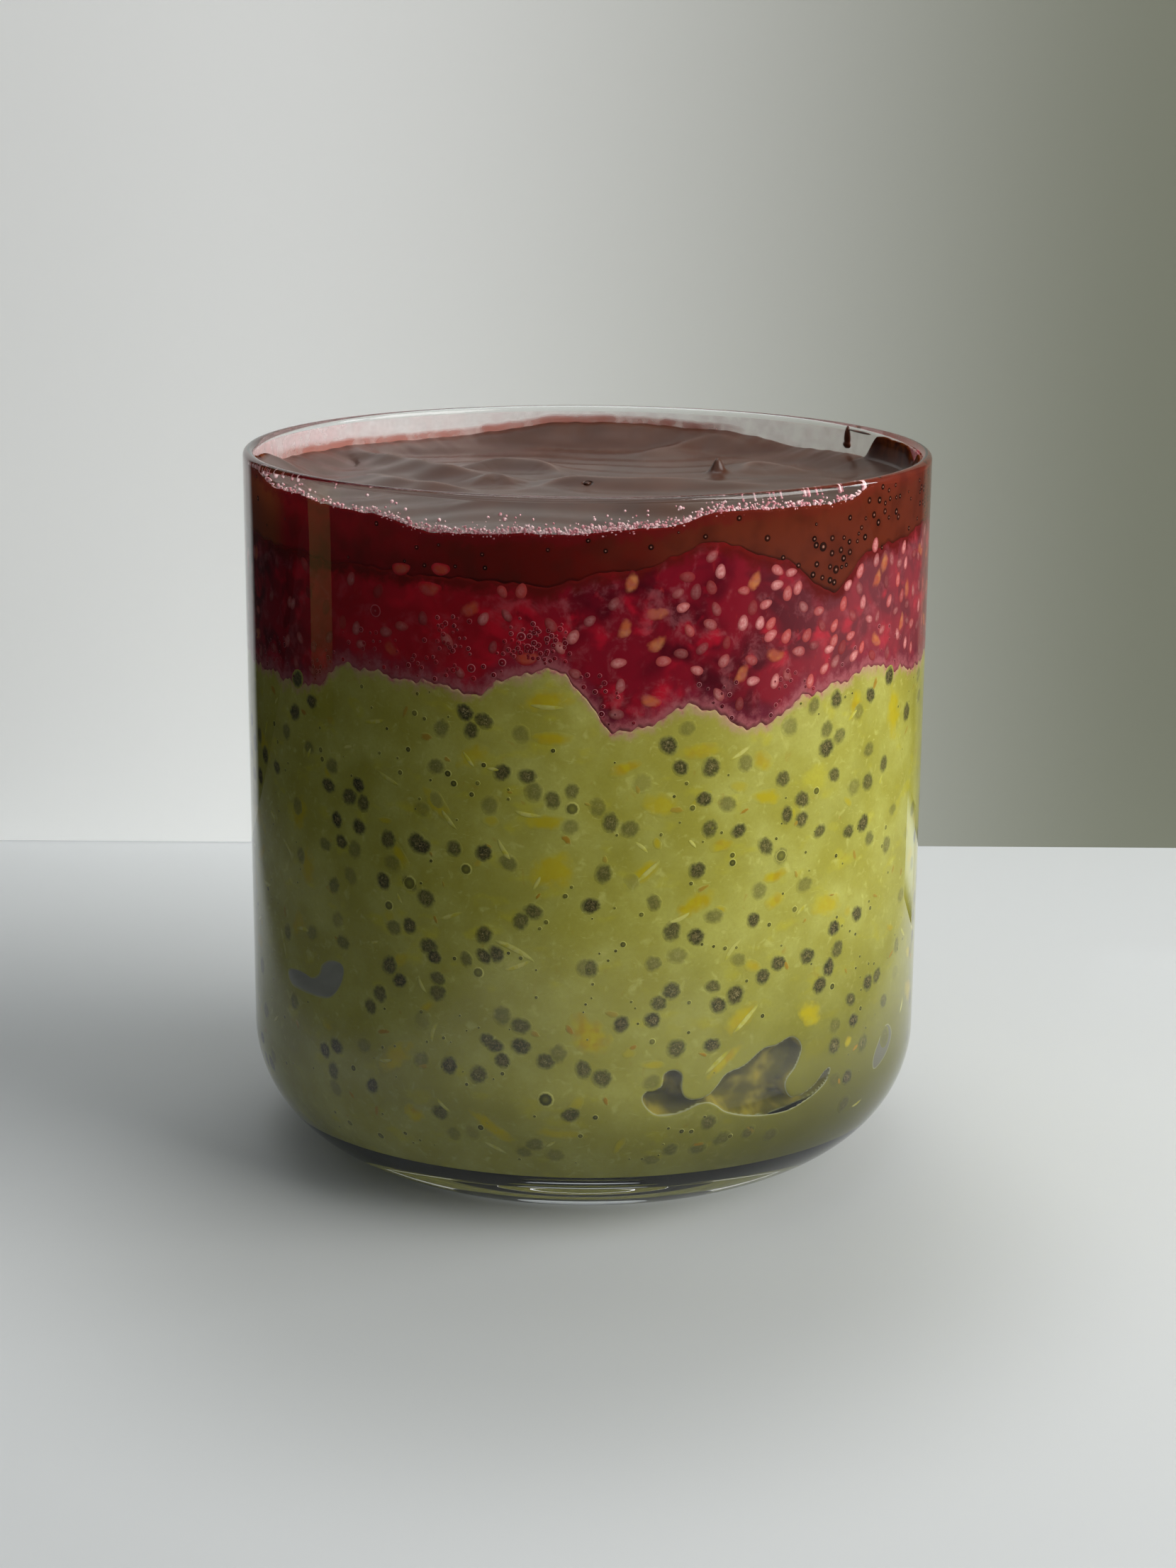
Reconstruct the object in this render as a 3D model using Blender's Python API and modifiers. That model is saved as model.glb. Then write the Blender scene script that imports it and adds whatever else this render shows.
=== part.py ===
"""Matcha overnight oats in a clear glass tumbler, under mashed raspberry and poured chocolate."""

import math

import bmesh
import bpy

# Driving dimensions, in metres. The origin is the middle of the glass's underside, +Z is up and
# the shown side faces -Y. Angles are in degrees round +Z, from -Y and growing towards +X.
GLASS_RADIUS = 0.043
GLASS_HEIGHT = 0.0893
WALL = 0.0014
BASE = 0.0063
OUTER_CORNER = 0.0153
INNER_CORNER = 0.0125
GAP = 0.0003
AROUND = 72
CORNER_STEPS = 6
RIM_STEPS = 4
MM = 0.001

INNER_RADIUS = GLASS_RADIUS - WALL
FOOD_RADIUS = INNER_RADIUS - GAP
FLOOR_RADIUS = INNER_RADIUS - INNER_CORNER

# Where each layer's top meets the glass: angle and height in millimetres.
OATS_EDGE = (
    (-150, 66.6), (-120, 63.6), (-95, 66.0), (-72, 64.3), (-49, 64.2), (-43, 67.8), (-24, 67.2),
    (-20, 66.4), (-5, 69.7), (5, 62.4), (18, 65.1), (27, 61.8), (38, 65.0), (52, 66.7),
    (70, 64.4), (100, 66.5), (128, 63.2), (155, 67.6), (180, 64.8),
)
BERRY_EDGE = (
    (-160, 81.0), (-130, 78.6), (-100, 81.2), (-70, 80.4), (-42, 79.8), (-5, 79.3), (6, 81.0),
    (21, 83.8), (31, 81.5), (42, 76.8), (51, 80.6), (63, 81.4), (80, 82.3), (110, 79.0),
    (140, 81.5), (170, 79.2),
)
CHOCOLATE_EDGE = (
    (-150, 85.4), (-108, 85.6), (-96, 87.4), (-80, 88.5), (-70, 88.2), (-60, 86.9), (-36, 86.0),
    (-24, 84.6), (-5, 85.0), (12, 85.7), (20, 87.2), (46, 87.1), (52, 88.6), (88, 88.6),
    (94, 87.2), (100, 88.7), (113, 88.6), (118, 85.5), (135, 85.3), (155, 86.6), (180, 87.1),
)

# Each layer's mean height away from the glass, and how far in the edge's shape reaches. The
# chocolate swells to the glass up to SWELL_TOP, and only a thin coat stands higher.
OATS_LEVEL = 0.0655
BERRY_LEVEL = 0.0806
CHOCOLATE_LEVEL = 0.0840
EDGE_REACH = 0.014
SWELL_TOP = 0.0871
SWELL_REACH = 0.0075
COAT_THICKNESS = 0.0012
COAT_FOOT = 0.0012
LUMP_HEIGHT = 0.0008
LUMP_SPACING = 0.0065

# Folds in the poured chocolate: points along each crest in millimetres, then its height.
FOLDS = (
    (((-40, 18), (-36, 24), (-30, 16), (-23, 11), (-14, 4), (-4, -3)), 0.85),
    (((-22, 12), (-13, 16.5), (-6, 14), (-3, 6)), 0.75),
    (((-31, 10), (-25, 4), (-21, -5), (-24, -14)), 0.7),
    (((-15, -1), (-11, 4), (-8, -1)), 0.55),
    (((-9, -5), (-1, 2), (12, 2.5), (26, 1)), 0.6),
    (((10, 30), (16, 36), (23, 29)), 0.7),
    (((19, 12), (22, 18), (27, 12)), 0.5),
    (((-18, -24), (-4, -19), (10, -23), (24, -17)), 0.55),
)
FOLD_WIDTH = 0.0022

# The little peak where the pour ended.
PEAK_AT = (0.017, 0.0134)
PEAK_RADIUS = 0.0016
PEAK_TIP_RADIUS = 0.0004
PEAK_HEIGHT = 0.0021
PEAK_SUNK = 0.0012

# Air pockets between the oats and the glass: depth, then angle and height in millimetres
# round each outline.
POCKETS = {
    "right_pocket": (0.0026, (
        (9.6, 18.2), (12.9, 19.6), (15.4, 21.2), (16.2, 18.2), (19.4, 17.4), (23.8, 20.1),
        (30.4, 22.3), (37.0, 23.1), (37.6, 20.3), (35.0, 17.2), (38.8, 15.4), (45.0, 17.6),
        (41.5, 14.9), (34.0, 13.8), (27.0, 14.4), (20.4, 16.9), (14.0, 15.7),
    )),
    "left_pocket": (0.0018, (
        (-58.8, 26.8), (-53.0, 27.6), (-49.2, 28.4), (-47.0, 30.4), (-43.4, 30.6),
        (-44.2, 28.0), (-49.0, 25.7), (-56.0, 25.5),
    )),
    "far_right_pocket": (0.0012, (
        (58.4, 16.7), (61.3, 19.3), (63.4, 19.5), (64.9, 18.0), (63.0, 15.9), (59.0, 14.8),
    )),
}
POCKET_OUTSIDE = 0.0035

OAT_GREEN = (0.27, 0.27, 0.06, 1)
BERRY_RED = (0.24, 0.008, 0.018, 1)
CHOCOLATE_BROWN = (0.045, 0.016, 0.009, 1)
CLEAR_GLASS = (0.94, 0.96, 0.95, 1)


def clear_scene():
    for obj in list(bpy.data.objects):
        bpy.data.objects.remove(obj)


def new_collection(name):
    collection = bpy.data.collections.new(name)
    bpy.context.scene.collection.children.link(collection)
    return collection


def material(name, colour, roughness, transmission=0.0):
    made = bpy.data.materials.new(name)
    made.use_nodes = True
    shader = made.node_tree.nodes["Principled BSDF"]
    shader.inputs["Base Color"].default_value = colour
    shader.inputs["Roughness"].default_value = roughness
    shader.inputs["Metallic"].default_value = 0.0
    shader.inputs["Transmission Weight"].default_value = transmission
    made.diffuse_color = colour
    return made


def smoothstep(share):
    share = min(max(share, 0.0), 1.0)
    return share * share * (3 - 2 * share)


def edge_height(edge, angle):
    """The height in metres at this angle on the closed line through the edge's points."""
    points = sorted(edge)
    low = (points[-1][0] - 360, points[-1][1])
    for high in points + [(points[0][0] + 360, points[0][1])]:
        if angle <= high[0]:
            share = smoothstep((angle - low[0]) / (high[0] - low[0]))
            return (low[1] + (high[1] - low[1]) * share) * MM
        low = high
    return low[1] * MM


def angle_of(x, y):
    return math.degrees(math.atan2(x, -y))


def lumps(x, y, phase):
    """Low mounds as a spoon leaves them, for the faces between two layers."""
    across = math.sin(x / LUMP_SPACING + 1.3 * math.sin(y / LUMP_SPACING + phase))
    along = math.cos(y / LUMP_SPACING * 0.8 + phase + 0.9 * math.cos(x / LUMP_SPACING))
    return LUMP_HEIGHT * across * along


def spooned(x, y, edge, level, phase):
    """A layer's top: mounds round its level, which go over into the line seen at the glass."""
    share = smoothstep(1 - (FOOD_RADIUS - math.hypot(x, y)) / EDGE_REACH)
    middle = level + lumps(x, y, phase)
    return middle + (edge_height(edge, angle_of(x, y)) - middle) * share


def oats_top(x, y):
    return spooned(x, y, OATS_EDGE, OATS_LEVEL, 0.4)


def berry_top(x, y):
    return spooned(x, y, BERRY_EDGE, BERRY_LEVEL, 2.1)


def distance_to_line(x, y, line):
    """How far a point is from a line of straight runs, in the line's units."""
    nearest = math.inf
    for (ax, ay), (bx, by) in zip(line, line[1:]):
        run_x, run_y = bx - ax, by - ay
        share = ((x - ax) * run_x + (y - ay) * run_y) / (run_x * run_x + run_y * run_y)
        share = min(max(share, 0.0), 1.0)
        nearest = min(nearest, math.hypot(x - ax - share * run_x, y - ay - share * run_y))
    return nearest


def folds(x, y):
    """The highest fold at this point, so that crossing folds don't pile up."""
    highest = 0.0
    for line, height in FOLDS:
        away = distance_to_line(x / MM, y / MM, line) * MM / FOLD_WIDTH
        highest = max(highest, height * MM * math.exp(-away * away))
    return highest


def chocolate_top(x, y):
    """The folded surface, which swells to the glass, and the thin coat up it."""
    radius = math.hypot(x, y)
    edge = edge_height(CHOCOLATE_EDGE, angle_of(x, y))
    surface = CHOCOLATE_LEVEL + folds(x, y)
    swell = smoothstep(1 - (FOOD_RADIUS - radius) / SWELL_REACH)
    surface += (min(edge, SWELL_TOP) - surface) * swell
    foot = FOOD_RADIUS - COAT_THICKNESS - COAT_FOOT
    return surface + (edge - surface) * smoothstep((radius - foot) / COAT_FOOT)


def glass_floor(x, y):
    """The underside of the oats, a gap above the inside of the glass and its round corner."""
    corner = INNER_CORNER - GAP
    out = min(max(math.hypot(x, y) - FLOOR_RADIUS, 0.0), corner)
    return BASE + INNER_CORNER - math.sqrt(corner * corner - out * out)


def arc(centre, radius, start, end, steps):
    """Profile points on an arc, its angles in degrees from straight outwards, upwards positive."""
    turns = [math.radians(start + (end - start) * i / steps) for i in range(steps + 1)]
    return [(centre[0] + radius * math.cos(t), centre[1] + radius * math.sin(t)) for t in turns]


def turned(name, profile, collection, finish):
    """A solid turned round +Z from profile points given as radius and height."""
    mesh = bpy.data.meshes.new(name)
    edges = [(i, i + 1) for i in range(len(profile) - 1)]
    mesh.from_pydata([(radius, 0, height) for radius, height in profile], edges, [])
    mesh.materials.append(finish)
    obj = bpy.data.objects.new(name, mesh)
    collection.objects.link(obj)
    screw = obj.modifiers.new("Turn", "SCREW")
    screw.steps = AROUND
    screw.render_steps = AROUND
    screw.use_merge_vertices = True
    screw.merge_threshold = 0.00001
    screw.use_smooth_shade = True
    return obj


def applied(obj, name):
    """The evaluated mesh of an object, as data of its own."""
    bpy.context.view_layer.update()
    graph = bpy.context.evaluated_depsgraph_get()
    mesh = bpy.data.meshes.new_from_object(obj.evaluated_get(graph))
    mesh.name = name
    return mesh


def layer(name, low, high, low_radii, high_radii, rows, collection, finish):
    """A turned disc whose two faces are then moved to the heights low(x, y) and high(x, y)."""
    profile = [(0, 1)] + [(radius, 1) for radius in high_radii]
    profile += [(FOOD_RADIUS, 1 - i / rows) for i in range(1, rows)]
    profile += [(radius, 0) for radius in reversed(low_radii)] + [(0, 0)]
    obj = turned(name, profile, collection, finish)
    mesh = applied(obj, name)
    obj.modifiers.clear()
    obj.data = mesh
    for vertex in mesh.vertices:
        x, y, share = vertex.co
        vertex.co.z = low(x, y) * (1 - share) + high(x, y) * share
    shape = bmesh.new()
    shape.from_mesh(mesh)
    bmesh.ops.triangulate(shape, faces=shape.faces, quad_method="SHORT_EDGE")
    shape.to_mesh(mesh)
    shape.free()
    mesh.shade_smooth()
    mesh.set_sharp_from_angle(angle=math.radians(50))
    return obj


def pocket_cutter(name, depth, outline, collection):
    """A plug with this outline on the glass, bent round the food's side and sunk in it."""
    curve = bpy.data.curves.new(name, "CURVE")
    curve.dimensions = "2D"
    curve.fill_mode = "BOTH"
    curve.extrude = (depth + POCKET_OUTSIDE) / 2
    curve.resolution_u = 2
    spline = curve.splines.new("BEZIER")
    spline.bezier_points.add(len(outline) - 1)
    spline.use_cyclic_u = True
    for point, (angle, height) in zip(spline.bezier_points, outline):
        point.co = (math.radians(angle) * FOOD_RADIUS, height * MM, 0)
        point.handle_left_type = "AUTO"
        point.handle_right_type = "AUTO"
    flat = bpy.data.objects.new(name + "_outline", curve)
    collection.objects.link(flat)
    mesh = applied(flat, name)
    bpy.data.objects.remove(flat)
    shape = bmesh.new()
    shape.from_mesh(mesh)
    bmesh.ops.remove_doubles(shape, verts=shape.verts, dist=0.00001)
    middle = FOOD_RADIUS + (POCKET_OUTSIDE - depth) / 2
    for vertex in shape.verts:
        around = vertex.co.x / FOOD_RADIUS
        radius = middle + vertex.co.z
        vertex.co = (radius * math.sin(around), -radius * math.cos(around), vertex.co.y)
    bmesh.ops.recalc_face_normals(shape, faces=shape.faces)
    if shape.calc_volume(signed=True) < 0:
        bmesh.ops.reverse_faces(shape, faces=shape.faces)
    shape.to_mesh(mesh)
    shape.free()
    return helper(bpy.data.objects.new(name, mesh), collection)


def helper(obj, collection):
    """An object that only cuts or joins, and isn't drawn."""
    for owner in obj.users_collection:
        owner.objects.unlink(obj)
    collection.objects.link(obj)
    obj.hide_render = True
    obj.display_type = "WIRE"
    return obj


def combine(obj, other, operation):
    boolean = obj.modifiers.new(other.name, "BOOLEAN")
    boolean.object = other
    boolean.operation = operation
    boolean.solver = "EXACT"


def make_glass(collection):
    """The tumbler: straight thin walls, a round rim, and a thick clear base with round corners."""
    rim = WALL / 2
    inside = arc((FLOOR_RADIUS, BASE + INNER_CORNER), INNER_CORNER, -90, 0, CORNER_STEPS)
    top = arc((GLASS_RADIUS - rim, GLASS_HEIGHT - rim), rim, 180, 0, RIM_STEPS)
    corner = (GLASS_RADIUS - OUTER_CORNER, OUTER_CORNER)
    outside = arc(corner, OUTER_CORNER, 0, -90, CORNER_STEPS)
    profile = [(0, BASE)] + inside + top + outside + [(0, 0)]
    finish = material("clear glass", CLEAR_GLASS, 0.02, transmission=1.0)
    return turned("glass", profile, collection, finish)


def make_oats(collection, cutters, radii):
    """The oats fill the glass's round bottom, with air pockets against its wall."""
    corner = arc((FLOOR_RADIUS, 0), INNER_CORNER - GAP, -90, 0, CORNER_STEPS)
    floor = [FLOOR_RADIUS / 2] + [radius for radius, _ in corner]
    finish = material("matcha oats", OAT_GREEN, 0.35)
    oats = layer("matcha_oats", glass_floor, oats_top, floor, radii, 5, collection, finish)
    for name, (depth, outline) in POCKETS.items():
        combine(oats, pocket_cutter(name, depth, outline, cutters), "DIFFERENCE")


def make_berries(collection, radii):
    finish = material("raspberry mash", BERRY_RED, 0.25)

    def low(x, y):
        return oats_top(x, y) + GAP

    layer("raspberry_mash", low, berry_top, radii, radii, 3, collection, finish)


def make_chocolate(collection, cutters, radii):
    """The poured top, with its folds, the coat up the glass and the peak where the pour ended."""
    finish = material("dark chocolate", CHOCOLATE_BROWN, 0.28)
    coat_inside = FOOD_RADIUS - COAT_THICKNESS
    open_radius = coat_inside - COAT_FOOT
    rings = 13
    fine = [open_radius * (i + 1) / rings for i in range(rings)]
    fine += [coat_inside - COAT_FOOT / 2, coat_inside, FOOD_RADIUS]

    def low(x, y):
        return berry_top(x, y) + GAP

    top = layer("chocolate", low, chocolate_top, radii, fine, 2, collection, finish)
    bpy.ops.mesh.primitive_cone_add(
        vertices=10, radius1=PEAK_RADIUS, radius2=PEAK_TIP_RADIUS, depth=PEAK_HEIGHT + PEAK_SUNK
    )
    peak = bpy.context.object
    peak.name = "peak"
    middle = chocolate_top(*PEAK_AT) + (PEAK_HEIGHT - PEAK_SUNK) / 2
    peak.location = (*PEAK_AT, middle)
    combine(top, helper(peak, cutters), "UNION")


def main():
    clear_scene()
    parts = new_collection("matcha overnight oats")
    cutters = new_collection("cutters")
    reach = FOOD_RADIUS - EDGE_REACH
    between = [reach * 0.35, reach * 0.7, reach, reach + EDGE_REACH * 0.35]
    between += [reach + EDGE_REACH * 0.7, FOOD_RADIUS]
    make_glass(parts)
    make_oats(parts, cutters, between)
    make_berries(parts, between)
    make_chocolate(parts, cutters, between)


main()
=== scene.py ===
"""Looks of the matcha overnight oats: clear glass, oats with chia, raspberry mash and chocolate."""

import math

import bpy
import numpy as np
from mathutils import Matrix, Vector


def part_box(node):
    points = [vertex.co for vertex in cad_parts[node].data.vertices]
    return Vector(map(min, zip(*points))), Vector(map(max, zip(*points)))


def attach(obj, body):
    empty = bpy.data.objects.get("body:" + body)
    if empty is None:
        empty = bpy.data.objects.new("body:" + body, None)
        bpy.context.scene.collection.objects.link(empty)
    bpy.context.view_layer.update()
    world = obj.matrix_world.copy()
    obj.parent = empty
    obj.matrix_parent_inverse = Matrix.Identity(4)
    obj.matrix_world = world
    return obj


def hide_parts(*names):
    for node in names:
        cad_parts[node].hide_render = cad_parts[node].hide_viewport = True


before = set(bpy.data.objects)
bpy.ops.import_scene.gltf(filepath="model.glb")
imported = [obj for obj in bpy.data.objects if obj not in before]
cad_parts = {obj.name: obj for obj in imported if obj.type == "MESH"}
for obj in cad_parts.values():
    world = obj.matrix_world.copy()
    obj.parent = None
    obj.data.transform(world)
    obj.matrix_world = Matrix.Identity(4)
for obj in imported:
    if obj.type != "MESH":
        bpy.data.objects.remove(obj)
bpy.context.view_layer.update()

MM = 0.001

# Sizes in millimetres. Angles are in degrees round +Z, from -Y and growing towards +X. Heights on
# the wall below the round corner's start are measured along the corner's arc.
GLASS_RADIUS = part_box("glass")[1].x / MM
GLASS_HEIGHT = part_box("glass")[1].z / MM
WALL = 1.4
BASE = 6.3
OUTER_CORNER = 15.3
INNER_CORNER = 12.5
INNER_RADIUS = GLASS_RADIUS - WALL
REACH = 0.06
FOOD_RADIUS = INNER_RADIUS + REACH
FLOOR_RADIUS = INNER_RADIUS - INNER_CORNER
CORNER = INNER_CORNER + REACH
CORNER_TOP = BASE + INNER_CORNER
FLOOR_HEIGHT = CORNER_TOP - CORNER * math.pi / 2
# The food leaves the glass near the floor by this much, so that the thick base looks clear from the
# side, as it does where wet food lies on glass. The angles are degrees round the corner.
FLOOR_LIFT = 0.26
LIFT_FROM = 63.0
LIFT_OVER = 6.0

# Where each layer's top meets the glass, as in the construction: angle and height.
OATS_EDGE = (
    (-150, 66.6), (-120, 63.6), (-95, 66.0), (-72, 64.3), (-49, 64.2), (-43, 67.8), (-24, 67.2),
    (-20, 66.4), (-5, 69.7), (5, 62.4), (18, 65.1), (27, 61.8), (38, 65.0), (52, 66.7),
    (70, 64.4), (100, 66.5), (128, 63.2), (155, 67.6), (180, 64.8),
)
BERRY_EDGE = (
    (-160, 81.0), (-130, 78.6), (-100, 81.2), (-70, 80.4), (-42, 79.8), (-5, 79.3), (6, 81.0),
    (21, 83.8), (31, 81.5), (42, 76.8), (51, 80.6), (63, 81.4), (80, 82.3), (110, 79.0),
    (140, 81.5), (170, 79.2),
)
CHOCOLATE_EDGE = (
    (-150, 85.4), (-108, 85.6), (-96, 87.4), (-80, 88.5), (-70, 88.2), (-60, 86.9), (-36, 86.0),
    (-24, 84.6), (-5, 85.0), (12, 85.7), (20, 87.2), (46, 87.1), (52, 88.6), (88, 88.6),
    (94, 87.2), (100, 88.7), (113, 88.6), (118, 85.5), (135, 85.3), (155, 86.6), (180, 87.1),
)
OATS_LEVEL = 65.5
BERRY_LEVEL = 80.6
CHOCOLATE_LEVEL = 84.0
SWELL_TOP = 87.1
LOW_SWELL_TOP = 85.5
SWELL_REACH = 7.5
COAT_THICKNESS = 0.35
COAT_FOOT = 0.5
# The coat's foot starts at this radius.
FOOT_RADIUS = FOOD_RADIUS - COAT_THICKNESS - COAT_FOOT

# Folds in the poured chocolate: points along each crest, then its height.
FOLDS = (
    (((-35, 20), (-31, 25), (-26, 17), (-20, 11), (-12, 4), (-4, -3)), 1.7),
    (((-22, 12), (-13, 17), (-6, 14), (-3, 6)), 1.3),
    (((-31, 10), (-25, 4), (-19, -3), (-12, -6)), 1.2),
    (((-15, -1), (-11, 4), (-8, -1)), 1.0),
    (((-9, -5), (-1, 2), (12, 2.5), (26, 1)), 1.1),
    (((6, 27), (16, 35), (24, 28)), 1.2),
    (((19, 12), (22, 18), (29, 13)), 1.0),
    (((-18, -24), (-4, -19), (10, -23), (24, -17)), 1.0),
)
FOLD_WIDTH = 2.9
FOLD_FADE = 0.4
CREST_WIDTH = 0.5
RIPPLE_HEIGHT = 0.08
PEAK_AT = (17.0, 13.4)
PEAK_RADIUS = 1.1
PEAK_HEIGHT = 2.0

# Drips on the inner wall: angle, height, half length, half width and turn.
DRIPS = (
    (123.5, 87.7, 1.45, 0.68, 90), (123.6, 86.7, 0.62, 0.82, 90), (120.0, 88.6, 2.8, 0.15, 1),
)

# Rings inside a layer, as shares of its radius, and attribute values far from every edge or pocket
INNER_SHARES = (0.5, 0.8, 0.94)
FAR = 9.0
NO_POCKET = -5.0
# How far below the food's side the edge of a sunk piece lies
RIM_SUNK = 0.04
# How ragged the blend from one layer to the next is, and how strongly the chocolate's top reflects
EDGE_RAGGED = 4.6
CHOCOLATE_GLOSS = 0.34

# Air pockets between the oats and the glass: depth, then angle and height round each outline.
POCKETS = (
    (2.0, (
        (9.6, 18.2), (10.7, 19.0), (12.6, 19.3), (13.1, 20.8), (14.6, 21.3), (15.9, 20.6),
        (15.8, 19.1), (16.5, 17.8), (18.3, 17.3), (20.6, 17.7), (22.2, 18.8), (23.8, 20.1),
        (27.0, 20.8), (30.4, 22.4), (33.1, 22.6), (35.8, 23.2), (37.5, 22.5), (38.1, 21.3),
        (36.9, 19.4), (35.1, 18.0), (35.1, 16.6), (36.6, 15.3), (39.0, 15.3), (41.6, 16.1),
        (43.6, 17.4), (45.0, 17.7), (44.2, 16.2), (42.1, 15.1), (39.0, 14.2), (36.1, 13.7),
        (31.5, 13.8), (27.2, 14.4), (23.9, 15.3), (22.2, 16.3), (20.6, 16.9), (18.7, 16.8),
        (16.8, 16.2), (14.5, 15.8), (11.9, 15.9), (10.2, 17.0),
    )),
    (1.8, (
        (-58.8, 27.2), (-54.9, 27.8), (-51.4, 27.6), (-49.2, 28.5), (-48.2, 29.9), (-45.8, 30.8),
        (-43.3, 30.6), (-43.7, 28.6), (-46.0, 26.5), (-49.0, 25.8), (-55.0, 25.6), (-58.1, 25.8),
    )),
    (0.0, (
        (58.4, 16.7), (61.3, 19.3), (63.4, 19.5), (64.9, 18.0), (63.0, 15.9), (59.0, 14.8),
    )),
)

# Chia seeds that show best through the front, then the ones that lie deeper: angle and height.
CHIA_NEAR = (
    (-54, 64.6), (-50, 62.4), (-55, 60.4), (-62, 52.5), (-46, 52.7), (-39, 53.7), (-41, 52.0),
    (-38, 51.6), (-44, 48.8), (-39, 48.6), (-33, 47.8), (-27.6, 48), (-26.6, 47.6), (-21, 47.9),
    (-16, 47.7), (-34, 42.6), (-29, 42.9), (-26, 41.4), (-19, 64.1), (-16, 63.3), (-18, 62.1),
    (-13, 57.4), (-9, 57.1), (-5, 54.4), (-8, 41.0), (-43, 46.2), (13, 60.7), (15, 58.0),
    (20, 57.8), (33, 55.4), (42, 58.2), (44, 54.7), (19, 54.1), (37, 52.5), (34, 51.0),
    (37, 50.1), (41, 48.2), (20, 50.5), (25, 49.9), (30, 47.6), (53, 52.6), (58, 54.1),
    (59, 64.8), (53, 63.3), (44, 63.8), (67, 59.2), (52, 47.6), (48, 47.2), (18, 45.6),
    (3, 45.7), (51, 36.4), (1, 41.9), (28, 38.8), (4, 51.8), (-29, 37.7), (-25.6, 35.6),
    (-24.6, 34.4), (-24, 31.8), (-24, 30.0), (-37, 26.6), (-33, 32.3), (-31, 30.7), (-16, 37.8),
    (-14, 35.6), (-10, 39.8), (-10, 27.0), (-15.5, 24.9), (-14.2, 24.3), (-10, 24.5),
    (-13, 22.6), (-6, 22.8), (0, 21.9), (-2, 16.1), (-17, 20.5), (-22, 21.2), (-45, 20.2),
    (-48, 19.1), (-46, 16.8), (-37, 16.5), (-24, 14.9), (-35, 28.5), (-16, 35.2), (14, 38.5),
    (18, 37.6), (33, 32.9), (30, 31.6), (39, 33.0), (44, 30.8), (42, 28.9), (46, 32.8),
    (45, 35.6), (14, 31.2), (12, 29.8), (11, 27.8), (6, 27.4), (22, 28.9), (25, 29.9),
    (21, 31.3), (15, 24.1), (21, 24.0), (51, 22.8), (50, 25.7), (55, 26.9), (58, 27.2),
    (50, 15.6), (46, 20.5), (1, 34.3), (3, 20.8),
)
CHIA_DEEP = (
    (-58, 57.6), (-51, 56.7), (-45, 55.2), (-40, 45.7), (-47, 45.3), (-54, 42.8), (-45, 40.5),
    (-41, 42.3), (-12, 46.7), (-23, 62.0), (-10, 62.0), (-24, 57.4), (-8, 55.3), (-2, 55.5),
    (-15, 53.4), (26, 57.9), (42, 60.4), (45, 59.3), (23, 53.3), (2, 53.6), (7, 51.0),
    (33, 46.1), (53, 56.6), (39, 63.6), (54, 45.4), (62, 47.7), (60, 43.6), (11, 42.1),
    (29, 42.3), (38, 42.0), (21, 39.9), (16, 62.6), (-43, 33.7), (-57, 23.5), (-59, 32.1),
    (-32, 37.1), (-46, 14.5), (-10, 10.2), (-4, 23.8), (-13, 28.1), (0, 34.4), (-27, 21.3),
    (-22, 12.0), (-8, 11.6), (-19, 34.6), (15, 35.5), (11, 34.7), (46, 23.1), (61, 23.3),
    (54, 19.2), (62, 18.3), (21, 14.1), (24, 11.3), (29, 11.6), (20, 10.1), (15, 10.4),
    (11, 20.1), (66, 29.5), (51, 11.7), (34, 10.4), (12, 8.8),
)
# Oat flakes: angle, height, half length, half width and the turn of the length from level.
FLAKES = (
    (-6, 66.0, 4.0, 1.6, 5), (-5, 61.6, 3.0, 1.0, 0), (-18, 59.0, 2.8, 1.6, 25),
    (-6, 51.7, 3.2, 1.3, 0), (-5, 45.9, 3.6, 3.0, 35), (-31, 46.3, 2.4, 1.0, -50),
    (-54, 48.0, 3.4, 2.0, 60), (-52, 41.7, 2.8, 2.0, 80), (-24, 53.0, 3.0, 1.2, -52),
    (9, 45.5, 3.2, 1.2, 40), (12, 53.7, 3.0, 1.8, -20), (18, 59.8, 3.4, 1.2, 5),
    (6, 58.1, 2.4, 1.0, 25), (29, 57.9, 2.0, 1.4, -40), (30, 53.5, 2.6, 1.2, -10),
    (22, 48.3, 1.8, 1.0, 10), (18, 41.7, 3.4, 1.6, 20), (43, 38.7, 3.6, 1.8, -10),
    (32, 43.8, 2.2, 1.0, 10), (61, 60.1, 2.4, 4.2, 0), (49, 62.6, 1.6, 2.2, 0),
    (-32, 21.0, 4.2, 1.7, 38), (-15, 13.7, 4.4, 1.2, -38), (-4, 13.4, 4.0, 1.0, -6),
    (-55, 33.8, 2.4, 2.0, 60), (-31, 33.3, 1.8, 1.0, 40), (1, 26.1, 3.8, 2.6, -40),
    (-29, 14.0, 1.6, 1.8, 80), (-26, 28.0, 1.5, 0.8, 40), (11, 22.2, 1.9, 0.7, -4),
    (28, 33.1, 1.6, 1.0, -15), (26, 26.8, 3.4, 1.6, 42), (40, 25.6, 2.0, 2.4, 60),
    (32, 40.7, 1.9, 1.2, 20), (23, 21.6, 3.6, 0.9, 40),
)
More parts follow.
